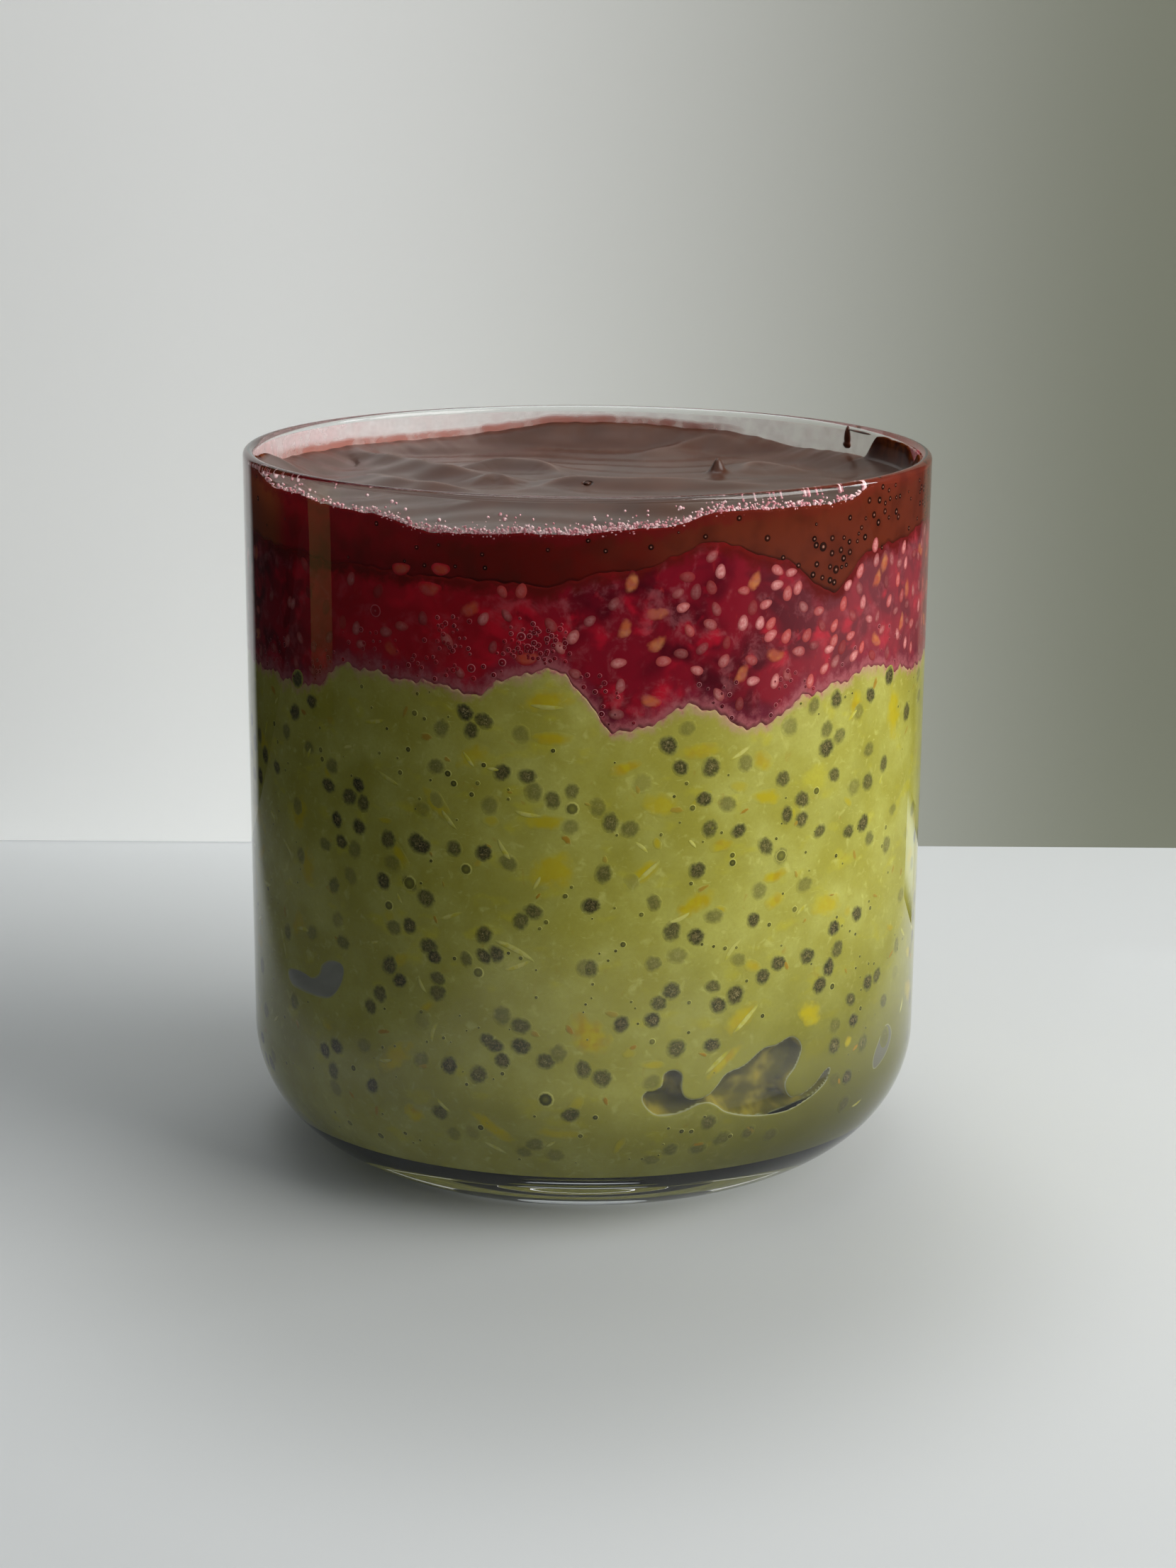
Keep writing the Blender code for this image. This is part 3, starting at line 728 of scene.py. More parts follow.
@finish("chia seeds", 0.5)
def chia_finish(tree):
    reach = tree.attribute("reach")
    halo = tree.times(soft(tree, 0.35, 0.5, 0.98, 0.6), 0.72)
    colour = tree.mix(halo, tree.group(MATCHA), CHIA_GREY)
    core = tree.mottle(CHIA_DARK, CHIA_BROWN, 0.34, 0.44, 0.6, detail=3, shift=6.2, distortion=1.4)
    lines = tree.ramp(tree.noise(0.6, 3, shift=2.9, distortion=2.6), 0.56, 0.68, 0, 0.75)
    core = tree.mix(tree.times(lines, tree.ramp(reach, 0.2, 0.5, 1, 0)), core, CHIA_LINE)
    core = tree.mix(tree.ramp(reach, 0.3, 0.5, 0, 0.45), core, CHIA_DARK)
    return tree.mix(soft(tree, 0.7, 0.42, 0.82, 0.42, 1.3, 3.0), colour, core)


@finish("oat flakes", 0.5)
def flake_finish(tree):
    flake = tree.mottle(FLAKE_GOLD, OAT_YELLOW, 1.6, 0.5, 0.75, 0.6, detail=3, shift=8.8)
    brown = tree.times(tree.attribute("brown"), tree.ramp(tree.noise(1.4, shift=3.8), 0.4, 0.6))
    flake = tree.mix(brown, flake, BRAN)
    return tree.mix(soft(tree, 1.0, 0.25, 0.92, 1.2, 0.0, 3.0), tree.group(MATCHA), flake)


@finish("pale flake edges", 0.5)
def sliver_finish(tree):
    flake = tree.mottle(OAT_YELLOW, OAT_CREAM, 1.0, 0.35, 0.6, shift=8.8)
    return tree.mix(soft(tree, 0.35, 0.5, 0.9, 0.8), tree.group(MATCHA), flake)


@finish("bran flecks", 0.5)
def bran_finish(tree):
    return tree.mix(soft(tree, 0.6, 0.45, 0.9, 0.4), tree.group(MATCHA), BRAN)


@finish("air bubbles in the oats", 0.4)
def bubble_finish(tree):
    reach = tree.attribute("reach")
    # Painted light and shade: a pale rim of painted highlight round a dark middle of painted shade.
    rim = tree.times(band(tree, reach, (0.6, 0.78), (0.9, 1.0)), 0.45)
    colour = tree.mix(rim, tree.group(MATCHA), OAT_CREAM)
    inside = tree.mix(tree.ramp(reach, 0.0, 0.55, 0.35, 0), BUBBLE_PAINTED_SHADE, MATCHA_GREEN)
    middle = tree.times(tree.ramp(reach, 0.55, 0.76, 1, 0), tree.attribute("strength"))
    return tree.mix(middle, colour, inside)


@finish("raspberry seeds", 0.4)
def seed_finish(tree):
    reach = tree.attribute("reach")
    seed = tree.mottle(SEED_PINK, SEED_CREAM, 0.35, 0.35, 0.65, shift=2.1)
    # Painted shade: each seed darkens towards its edge and has a dark outline round it.
    seed = tree.mix(tree.ramp(reach, 0.3, 0.85), seed, SEED_PAINTED_EDGE_SHADE)
    seed = tree.mix(tree.attribute("red"), seed, SEED_RED)
    shown = tree.times(tree.ramp(reach, 0.8, 0.93, 1, 0), tree.attribute("strength"))
    dark = tree.ramp(reach, 0.97, 0.86, 0, 0.5)
    return tree.mix(shown, tree.mix(dark, tree.group(BERRY), BERRY_DARK), seed)


@finish("soft raspberry seeds", 0.4)
def soft_seed_finish(tree):
    seed = tree.mottle(SEED_ORANGE, SEED_AMBER, 1.6, 0.4, 0.65, shift=5.1)
    seed = tree.mix(tree.attribute("red"), seed, SEED_RED)
    veiled = tree.mottle(seed, BERRY_MILK, 0.9, 0.4, 0.7, 0.4, detail=3, shift=7.3, distortion=0.6)
    return tree.mix(soft(tree, 0.6, 0.35, 0.92, 0.9), tree.group(BERRY), veiled)


@finish("bubbles in the raspberry", 0.3)
def pale_ring_finish(tree):
    """Bubbles with a painted darker middle, a thin pale ring of painted light and a painted glint."""
    reach, strength = tree.attribute("reach"), tree.attribute("strength")
    # Painted shade in the middle, then a painted pale ring and a painted glint.
    middle = tree.times(tree.ramp(reach, 0.6, 0.8, 0.65, 0), strength)
    colour = tree.mix(middle, tree.group(BERRY), BERRY_DARK)
    ring = tree.times(band(tree, reach, (0.66, 0.8), (0.86, 0.98)), strength)
    colour = tree.mix(ring, colour, BUBBLE_PAINTED_LIGHT_PINK)
    return tree.mix(tree.times(tree.ramp(reach, 0.05, 0.22, 0.8, 0), strength), colour, BUBBLE_PAINTED_LIGHT_PINK)


@finish("bubbles in the chocolate", 0.3)
def dark_ring_finish(tree):
    """Bubbles with a dark ring of painted shade round a lighter middle, and a painted glint."""
    reach, strength = tree.attribute("reach"), tree.attribute("strength")
    # Painted shade in the dark ring and a painted glint in the middle.
    ring = tree.times(band(tree, reach, (0.25, 0.45), (0.86, 0.98)), strength)
    colour = tree.mix(ring, tree.group(CHOCOLATE), BUBBLE_RING_PAINTED_SHADE)
    return tree.mix(tree.times(tree.ramp(reach, 0.1, 0.32, 0.8, 0), strength), colour, BUBBLE_PAINTED_GLINT_BROWN)


@finish("pink foam", 0.15, 0.5)
def foam_finish(tree):
    return tree.mottle(FOAM_PINK, FOAM_WHITE, 0.5, 0.35, 0.65, detail=1)


@finish("dark chocolate drip", 0.3, 0.4)
def drip_finish(tree):
    return tree.mottle(DRIP_DARK, DRIP_BROWN, 1.2, 0.3, 0.7, detail=1)


def blend_in(tree, attribute, size, shift, low, high, most=1.0):
    """A ragged share that falls from most to 0 with the distance that the attribute gives."""
    uneven = tree.math("SUBTRACT", tree.noise(size, 5, shift=shift, roughness=0.7), 0.5)
    away = tree.math("ADD", tree.attribute(attribute), tree.times(uneven, EDGE_RAGGED))
    return tree.ramp(away, low, high, most, 0)


@finish("matcha oats", 0.45)
def oats_finish(tree):
    """Oats that pale and redden at their top edge, with dark, grey or pale air pockets."""
    colour = tree.mix(blend_in(tree, "below_edge", 2.2, 5.0, -0.4, 1.5, 0.75), tree.group(MATCHA), MIST)
    colour = tree.mix(blend_in(tree, "below_edge", 1.2, 8.0, -0.6, 0.4, 0.9), colour, BERRY_MILK)
    pocket, across = tree.attribute("pocket"), tree.along("X")
    inside = tree.mottle(POCKET_DARK, POCKET_LUMP, 3.4, 0.46, 0.72, 0.6, shift=12.4)
    grey = tree.math("MAXIMUM", tree.ramp(across, -0.028, -0.026, 1, 0), tree.ramp(across, 0.031, 0.034))
    inside = tree.mix(grey, inside, POCKET_GREY)
    inside = tree.mix(tree.ramp(across, -0.028, -0.026, 0.85, 0), inside, POCKET_PALE)
    colour = tree.mix(tree.ramp(pocket, -0.06, 0.03, 0, 0.97), colour, inside)
    return tree.mix(tree.times(band(tree, pocket, (-0.22, -0.12), (-0.07, -0.01)), 0.7), colour, POCKET_RIM)


@finish("raspberry mash", 0.3)
def berry_finish(tree):
    colour = tree.mix(blend_in(tree, "above_edge", 2.6, 3.0, 0.8, 3.2, 0.55), tree.group(BERRY), BERRY_PURPLE)
    colour = tree.mix(blend_in(tree, "above_edge", 1.2, 7.0, -0.2, 2.0, 0.85), colour, BERRY_MILK)
    return tree.mix(blend_in(tree, "below_top", 2.4, 1.0, 0.2, 2.0, 0.9), colour, MAROON)


@finish("chocolate", 0.28)
def chocolate_finish(tree):
    """A glossy top with a painted sheen on its crests, a smeared coat on the glass and the side seen through
    it.
    """
    side, coat = tree.attribute("side"), tree.attribute("coat")
    juice = blend_in(tree, "below_top", 1.4, 9.0, 0.3, 1.7, 0.6)
    juice = tree.times(juice, tree.ramp(tree.along("X"), 0.008, 0.024, 1, 0.3))
    wall = tree.mix(juice, tree.group(CHOCOLATE), JUICE_RED)
    top = tree.mottle(CHOCOLATE_DARK, CHOCOLATE_LIGHT, 7, 0.35, 0.7, detail=3)
    # Painted sheen: a paler brown along the crests, in patches.
    patches = tree.ramp(tree.noise(6, shift=8.1), 0.35, 0.6, 0.05, 0.45)
    top = tree.mix(tree.times(tree.attribute("crest"), patches), top, CHOCOLATE_PAINTED_SHEEN)
    top = tree.mix(coat, top, tree.mottle(SMEAR_DARK, SMEAR_BROWN, 2.5, 0.4, 0.65, shift=4.9))
    open_ = tree.math("SUBTRACT", 1.0, tree.math("MAXIMUM", side, coat))
    tree.feed(Specular_IOR_Level=tree.times(open_, CHOCOLATE_GLOSS))
    return tree.mix(side, top, wall)


def film_finish():
    """A thin stain of berry juice on the glass, mostly clear."""
    made, tree = principled("berry film", Roughness=0.4)
    band_ = tree.times(tree.ramp(tree.attribute("above"), 0.5, 1.5, 1, 0), tree.attribute("band"))
    colour = tree.mix(band_, FILM_PINK, FILM_RED)
    tree.feed(Base_Color=tree.mix(tree.attribute("magenta"), colour, FILM_MAGENTA))
    haze = tree.times(tree.attribute("haze"), tree.ramp(tree.noise(2.4, 3, shift=4.6), 0.3, 0.7, 0.45, 1))
    uneven = tree.ramp(tree.noise(3.5, shift=1.6), 0.3, 0.6, 0.35, 0.75)
    cover = tree.math("MAXIMUM", tree.times(band_, uneven), haze, clamp=True)
    tree.surface(cover, tree.node("ShaderNodeBsdfTransparent"), tree.shader)
    return made


def clear_glass():
    """Glass that lets the lamps' light through to the food without waiting for chance paths."""
    made, tree = principled(
        "clear tumbler glass", Base_Color=(0.985, 0.992, 0.985, 1), Roughness=0.0, IOR=1.5,
        Specular_IOR_Level=0.35, Transmission_Weight=1.0,
    )
    shadow = tree.node("ShaderNodeLightPath").outputs["Is Shadow Ray"]
    through = tree.node("ShaderNodeBsdfTransparent", {"Color": (0.95, 0.96, 0.95, 1)})
    tree.surface(shadow, tree.shader, through)
    return made


# Pieces

def make_glass():
    rim = WALL / 2
    inside = arc((FLOOR_RADIUS, CORNER_TOP), INNER_CORNER, -90, 0, 20)
    top = arc((GLASS_RADIUS - rim, GLASS_HEIGHT - rim), rim, 180, 0, 14)
    outside = arc((GLASS_RADIUS - OUTER_CORNER, OUTER_CORNER), OUTER_CORNER, 0, -90, 24)
    floor_inside = [(FLOOR_RADIUS * share, BASE) for share in (0.4, 0.8)]
    floor_outside = [((GLASS_RADIUS - OUTER_CORNER) * share, 0) for share in (0.8, 0.4)]
    wall_inside = [(INNER_RADIUS, h) for h in np.linspace(CORNER_TOP, GLASS_HEIGHT - rim, 12)[1:-1]]
    wall_outside = [(GLASS_RADIUS, h) for h in np.linspace(GLASS_HEIGHT - rim, OUTER_CORNER, 12)[1:-1]]
    profile = [(0, BASE), *floor_inside, *inside, *wall_inside, *top, *wall_outside, *outside]
    profile += [*floor_outside, (0, 0)]
    stands_for(revolved("glass_tumbler", profile, clear_glass()), "glass")


def column_angles(dense, fine, coarse):
    """Angles round the wall, closer together in the dense ranges."""
    angles, angle = [], -180.0
    while angle < 180 - coarse / 2:
        angles.append(angle)
        angle += fine if any(a <= angle <= b for a, b in dense) else coarse
    return np.array(angles)


def make_oats():
    angles = column_angles(((-61, -41), (7, 47), (56, 67)), 0.3, 0.45)
    edge = oats_edge(angles)
    fixed = np.concatenate([np.arange(FLOOR_HEIGHT, 13.0, 0.9), np.arange(13.0, 31.6, 0.26)])
    upper = 1 - (1 - np.linspace(0, 1, 19)[1:]) ** 1.6
    heights = np.vstack([
        np.repeat(fixed[:, None], len(angles), axis=1),
        fixed[-1] + (edge - fixed[-1]) * upper[:, None],
    ])
    angle = np.broadcast_to(angles, heights.shape)
    pocket, inwards = np.full(heights.shape, NO_POCKET), np.zeros(heights.shape)
    near = (heights > 12) & (heights < 33)
    for depth, outline in POCKETS:
        distance = outline_distance(outline, angle[near], heights[near])
        pocket[near] = np.maximum(pocket[near], distance)
        bowl = smoothstep((distance + 0.06) / 0.5) * (0.6 + 0.4 * smoothstep(distance / 2.0))
        inwards[near] = np.maximum(inwards[near], depth * bowl)
    points = wall_point(angle, heights, -inwards)
    rings = [inner_ring(angles, share, edge, OATS_LEVEL) for share in INNER_SHARES] + list(points[::-1])
    values = {
        "below_edge": [0.0] * 3 + list((edge - heights)[::-1]),
        "pocket": [NO_POCKET] * 3 + list(pocket[::-1]),
    }
    oats = ring_stack("oats_body", rings, (OATS_LEVEL, BASE - REACH), oats_finish(), values)
    stands_for(oats, "matcha_oats")


def ring_stack(name, rings, ends, finish, attributes):
    """A closed solid from rings of points, top inside first, and the heights of its two ends.

    Each attribute has a value, or a row of values, for every ring.
    """
    stacked = np.stack(rings)
    rows, columns = stacked.shape[:2]
    flat = np.vstack([stacked.reshape(-1, 3), *[(0, 0, end) for end in ends]])
    faces = [
        grid_faces(rows, columns, True),
        fan(np.arange(columns), len(flat) - 2, flip=True),
        fan(np.arange(columns) + (rows - 1) * columns, len(flat) - 1),
    ]
    filled = {}
    for key, values in attributes.items():
        values = np.stack([np.broadcast_to(value, columns) for value in values])
        filled[key] = np.append(values.reshape(-1), [values[0, 0], values[-1, 0]])
    return new_piece(name, flat, faces, finish, attributes=filled)


def inner_ring(angles, share, edge, level):
    """A ring inside the food at a share of its radius, where its edge evens out to a level."""
    around, radius = np.radians(angles), FOOD_RADIUS * share
    height = level + (edge - level) * share ** 4
    return np.stack([radius * np.sin(around), -radius * np.cos(around), height], axis=-1)


def make_berries():
    angles = np.arange(-180, 180, 0.4)
    low, high = oats_edge(angles), berry_edge(angles)
    heights = [low + (high - low) * share for share in np.linspace(1, 0, 34)]
    rings = [inner_ring(angles, share, high, BERRY_LEVEL) for share in INNER_SHARES]
    rings += [wall_point(angles, height) for height in heights]
    rings += [inner_ring(angles, share, low, OATS_LEVEL) for share in INNER_SHARES[::-1]]
    values = {
        "above_edge": [FAR] * 3 + [height - low for height in heights] + [FAR] * 3,
        "below_top": [FAR] * 3 + [high - height for height in heights] + [FAR] * 3,
    }
    berries = ring_stack("raspberry_body", rings, (BERRY_LEVEL, OATS_LEVEL), berry_finish(), values)
    stands_for(berries, "raspberry_mash")


def fold_height(x, y):
    """The highest fold at each point, and how near each point is to a crest line."""
    highest, crests = np.zeros_like(x), np.zeros_like(x)
    wander_x = x + 0.9 * np.sin(y / 4.1 + 1.0) + 0.35 * np.sin(y / 1.7 + x / 5.0)
    wander_y = y + 0.8 * np.sin(x / 4.7 + 0.3) + 0.3 * np.sin(x / 2.1 - y / 6.0)
    for line, height in FOLDS:
        line = smooth_line(line, False)
        nearest, along = np.full_like(x, np.inf), np.zeros_like(x)
        for step, ((ax, ay), (bx, by)) in enumerate(zip(line, line[1:])):
            share, away = nearest_on(ax, ay, bx, by, wander_x, wander_y)
            along = np.where(away < nearest, (step + share) / (len(line) - 1), along)
            nearest = np.minimum(nearest, away)
        fade = smoothstep(along / FOLD_FADE) * smoothstep((1 - along) / FOLD_FADE)
        crest = 0.82 * np.exp(-((nearest / FOLD_WIDTH) ** 1.7)) + 0.2 * np.exp(-nearest / 0.8)
        highest = np.maximum(highest, height * fade * crest)
        crests = np.maximum(crests, fade * np.exp(-((nearest / CREST_WIDTH) ** 2)))
    ripples = np.sin(wander_y / 0.95 + 1.6 * np.sin(wander_x / 7.0)) + np.sin(wander_y / 2.3 + wander_x / 9.0)
    return highest + RIPPLE_HEIGHT * ripples, crests


def chocolate_height(angles, radius):
    """The height of the chocolate's top at one radius, and how near it is to a crest line."""
    around = np.radians(angles)
    x, y = radius * np.sin(around), -radius * np.cos(around)
    edge = chocolate_edge(angles)
    folds, crests = fold_height(x, y)
    surface = CHOCOLATE_LEVEL + folds
    peak = np.hypot(x - PEAK_AT[0], y - PEAK_AT[1]) / PEAK_RADIUS
    surface = surface + PEAK_HEIGHT * np.exp(-(peak * 1.25) ** 2)
    swell = smoothstep(1 - (FOOD_RADIUS - radius) / SWELL_REACH)
    right = smoothstep((angles - 30) / 30) * smoothstep((135 - angles) / 15)
    swell_top = SWELL_TOP + (LOW_SWELL_TOP - SWELL_TOP) * right
    surface = surface + (np.minimum(edge, swell_top) - surface) * swell
    climb = smoothstep((radius - FOOT_RADIUS) / COAT_FOOT)
    return surface + (edge - surface) * climb, crests * (1 - swell)


def make_chocolate():
    angles = np.arange(-180, 180, 0.6)
    low, high = berry_edge(angles), chocolate_edge(angles)
    around = np.radians(angles)
    thin = smoothstep((high - 86.2) / 1.2)
    rings, rows = [], []
    for first, last, count in ((0.5, 37.5, 96), (37.9, 40.5, 8), (40.7, FOOD_RADIUS - 0.2, 8)):
        for radius in np.linspace(first, last, count):
            height, crests = chocolate_height(angles, radius)
            rings.append(np.stack([radius * np.sin(around), -radius * np.cos(around), height], axis=-1))
            rows.append((0.0, FAR, thin * smoothstep((radius - FOOT_RADIUS) / 0.35), crests))
    middle = rings[0][0][2]
    for share in np.linspace(1, 0, 16):
        height = low + (high - low) * share
        rings.append(wall_point(angles, height))
        rows.append((1.0, high - height, 0.0, 0.0))
    for share in INNER_SHARES[::-1]:
        rings.append(inner_ring(angles, share, low, BERRY_LEVEL))
        rows.append((1.0, FAR, 0.0, 0.0))
    values = dict(zip(("side", "below_top", "coat", "crest"), zip(*rows)))
    chocolate = ring_stack("chocolate_body", rings, (middle, BERRY_LEVEL), chocolate_finish(), values)
    stands_for(chocolate, "chocolate")


def between(low, high, below=0.0, above=0.0):
    """The heights between two edges, kept away from each, as functions for scattered."""
    return (lambda angle: float(low(angle)) + below), (lambda angle: float(high(angle)) - above)


def outside_pockets(places, margin):
    """Those of the places that aren't over a pocket."""
    keep = np.ones(len(places), bool)
    for _, outline in POCKETS:
        keep &= outline_distance(outline, places[:, 0], places[:, 1]) < -margin
    return places[keep]


def make_oats_contents():
    draw = np.random.default_rng(21)
    low, high = between(lambda a: 9.0, oats_edge, 0, 1.3)
    far = scattered(22, 230, 1.9, low, high, SIDES_AND_BACK, cluster=7)
    few = outside_pockets(scattered(23, 26, 2.2, low, high, FRONT, CHIA_NEAR + CHIA_DEEP), 1.5)
    places = np.vstack([CHIA_NEAR, CHIA_DEEP, far, few])
    strength = np.concatenate([
        draw.uniform(0.65, 0.95, len(CHIA_NEAR)), draw.uniform(0.3, 0.55, len(CHIA_DEEP)),
        draw.choice([0.9, 0.8, 0.5, 0.35], len(far)), draw.uniform(0.15, 0.35, len(few)),
    ])
    length = draw.uniform(1.32, 1.68, len(places))
    chia = lenses(
        "chia_seeds", chia_finish(), places, length, length * draw.uniform(0.76, 0.95, len(places)),
        draw.uniform(0, 180, len(places)), 0.9, 0.02 + 0.025 * strength, wobble=0.07, seed=3,
        attributes={"strength": strength},
    )
    belongs(chia)

    low, high = between(lambda a: 9.0, oats_edge, 0, 2.2)
    named = np.array(FLAKES, float)[:, :2]
    more = scattered(24, 62, 4.2, low, high, SIDES_AND_BACK, named)
    faint = scattered(25, 60, 3.0, low, high, ALL_ROUND, np.vstack([named, more]))
    faint = outside_pockets(faint, 2.5)
    sizes = [flake[2:] for flake in FLAKES]
    sizes += [(draw.uniform(2, 3.8), draw.uniform(0.9, 2.0), draw.uniform(-60, 60)) for _ in more]
    sizes += [(draw.uniform(0.8, 1.8), draw.uniform(0.5, 1.0), draw.uniform(-80, 80)) for _ in faint]
    places = np.vstack([named, more, faint])
    strength = np.concatenate([
        draw.uniform(0.7, 1.0, len(named)), draw.uniform(0.5, 1.0, len(more)),
        draw.uniform(0.35, 0.8, len(faint)),
    ])
    flakes = lenses(
        "oat_flakes", flake_finish(), places, *np.transpose(sizes), 0.6, 0.012, around=24,
        wobble=0.12, seed=4,
        attributes={"strength": strength, "brown": draw.uniform(0, 0.75, len(places)) ** 2},
    )
    belongs(flakes)

    more = scattered(26, 60, 5.0, low, high, SIDES_AND_BACK)
    extra = outside_pockets(scattered(27, 26, 3.0, low, high, FRONT, SLIVERS), 1.8)
    rows = list(SLIVERS)
    for place in np.vstack([more, extra]):
        rows.append((*place, draw.uniform(0.7, 2.0), draw.uniform(-70, 70), draw.uniform(-0.3, 0.3)))
    rows = np.array(rows)
    length, turn, bend = rows[:, 2:].T
    slivers = lenses(
        "flake_edges", sliver_finish(), rows[:, :2], length, 0.2 + 0.07 * length, turn, 0.5, 0.04,
        around=18, bend=bend * 0.6, wobble=0.05, seed=5,
        attributes={"strength": draw.uniform(0.45, 0.85, len(rows))},
    )
    belongs(slivers)

    places = outside_pockets(scattered(28, 120, 3.0, low, high, ALL_ROUND), 1.0)
    length = draw.uniform(0.35, 1.1, len(places))
    bran = lenses(
        "bran_flecks", bran_finish(), places, length, length * draw.uniform(0.3, 0.6, len(places)),
        draw.uniform(-80, 80, len(places)), 0.4, 0.03, around=12, wobble=0.2, seed=6,
        attributes={"strength": draw.uniform(0.4, 0.95, len(places))},
    )
    belongs(bran)

    low, high = between(lambda a: 8.0, oats_edge, 0, 0.8)
    named = np.array(BUBBLES)
    more = scattered(29, 420, 0.9, low, high, ALL_ROUND, BUBBLES, cluster=4, spread=2.0)
    more = outside_pockets(more, 0.6)
    more_radius = draw.uniform(0.1, 0.24, len(more)) * draw.choice([1, 1, 1, 1.7], len(more))
    radius = np.concatenate([named[:, 2], more_radius])
    places = np.vstack([named[:, :2], more])
    bubbles = lenses(
        "oat_bubbles", bubble_finish(), places, radius * 1.25, radius * 1.25, 0, radius * 0.9, 0.06,
        around=10, seed=7, attributes={"strength": draw.uniform(0.6, 1.0, len(places))},
    )
    belongs(bubbles)


def make_berry_contents():
    draw = np.random.default_rng(31)
    low, high = between(oats_edge, berry_edge, 1.4, 1.2)
    named = np.array(BERRY_SEEDS, float)
    right = scattered(32, 60, 1.7, low, high, ((14, 80),), BERRY_SEEDS + SOFT_SEEDS)
    left = scattered(33, 22, 2.6, low, high, ((-66, 14),), BERRY_SEEDS + SOFT_SEEDS)
    far = scattered(34, 150, 1.8, low, high, ((-180, -66), (80, 180)))
    rest = np.vstack([right, left, far])
    places = np.vstack([named[:, :2], rest])
    turn = np.concatenate([named[:, 2], draw.uniform(0, 180, len(rest))])
    strength = np.concatenate([
        draw.uniform(0.8, 1.0, len(named)), draw.uniform(0.2, 0.8, len(right)),
        draw.uniform(0.25, 0.55, len(left)), draw.uniform(0.4, 1.0, len(far)),
    ])
    angle = places[:, 0]
    shaded = 1 - 0.35 * smoothstep((10 - angle) / 40) * (angle > -90)
    length = draw.uniform(0.88, 1.1, len(places))
    red = draw.uniform(0, 0.8, len(places)) ** 1.7
    red += 0.25 * smoothstep((5 - angle) / 40) * (angle > -90)
    seeds = lenses(
        "raspberry_seeds", seed_finish(), places, length, length * draw.uniform(0.6, 0.72, len(places)), turn,
        0.6, 0.05, around=18, taper=0.14, wobble=0.03, seed=8,
        attributes={"strength": strength * shaded, "red": red},
    )
    belongs(seeds)

    low, high = between(oats_edge, berry_edge, 2.0, 2.0)
    named = np.array(SOFT_SEEDS, float)
    more = scattered(35, 42, 4.0, low, high, SIDES_AND_BACK)
    places = np.vstack([named[:, :2], more])
    turn = np.concatenate([named[:, 2], draw.uniform(0, 180, len(more))])
    red = np.concatenate([np.where(named[:, 0] > 0, 0.1, 0.75), draw.uniform(0, 0.9, len(more))])
    length = draw.uniform(1.35, 1.75, len(places))
    soft_seeds = lenses(
        "soft_raspberry_seeds", soft_seed_finish(), places, length, length * 0.58, turn, 0.8, 0.03, around=20,
        bend=0.18, taper=0.12, wobble=0.05, seed=9,
        attributes={"strength": draw.uniform(0.6, 0.95, len(places)), "red": red},
    )
    belongs(soft_seeds)

    named = np.array(BERRY_RINGS)
    low, high = between(oats_edge, lambda a: oats_edge(a) + 5.0, 0.5, 0)
    more = scattered(36, 360, 0.5, low, high, ALL_ROUND, BERRY_RINGS, cluster=6, spread=1.1)
    low, high = between(lambda a: 70.6, lambda a: 75.4)
    spans = ((-12, -3), (-24, -18))
    dense = scattered(37, 60, 0.4, low, high, spans, BERRY_RINGS, cluster=8, spread=1.2)
    more = np.vstack([more, dense])
    places = np.vstack([named[:, :2], more])
    radius = np.concatenate([named[:, 2], draw.uniform(0.14, 0.34, len(more))])
    rings = lenses(
        "raspberry_bubbles", pale_ring_finish(), places, radius * 1.15, radius * 1.15, 0, radius * 0.8, 0.07,
        around=12, seed=10,
        attributes={"strength": draw.uniform(0.35, 0.9, len(places))},
    )
    belongs(rings)


def make_chocolate_contents():
    draw = np.random.default_rng(41)
    named = np.array(CHOCOLATE_RINGS)
    low, high = between(berry_edge, chocolate_edge, 0.6, 0.5)
    right = scattered(42, 55, 0.75, low, high, ((33, 88),), CHOCOLATE_RINGS, cluster=9, spread=1.8)
    rest = scattered(43, 60, 1.2, low, high, ALL_ROUND, np.vstack([named[:, :2], right]))
    places = np.vstack([named[:, :2], right, rest])
    radius = np.concatenate([
        named[:, 2], draw.uniform(0.2, 0.38, len(right)), draw.uniform(0.14, 0.3, len(rest)),
    ])
    rings = lenses(
        "chocolate_bubbles", dark_ring_finish(), places, radius * 1.3, radius * 1.3, 0, radius * 0.6, 0.06,
        around=14, seed=11,
        attributes={"strength": draw.uniform(0.75, 1.0, len(places))},
    )
    belongs(rings)

    rows = np.array(DRIPS)
    drip = lenses(
        "chocolate_drip", drip_finish(), rows[:, :2], *rows[:, 2:].T, 0.4, 0.02, around=20, taper=0.2,
        seed=12,
    )
    belongs(drip)


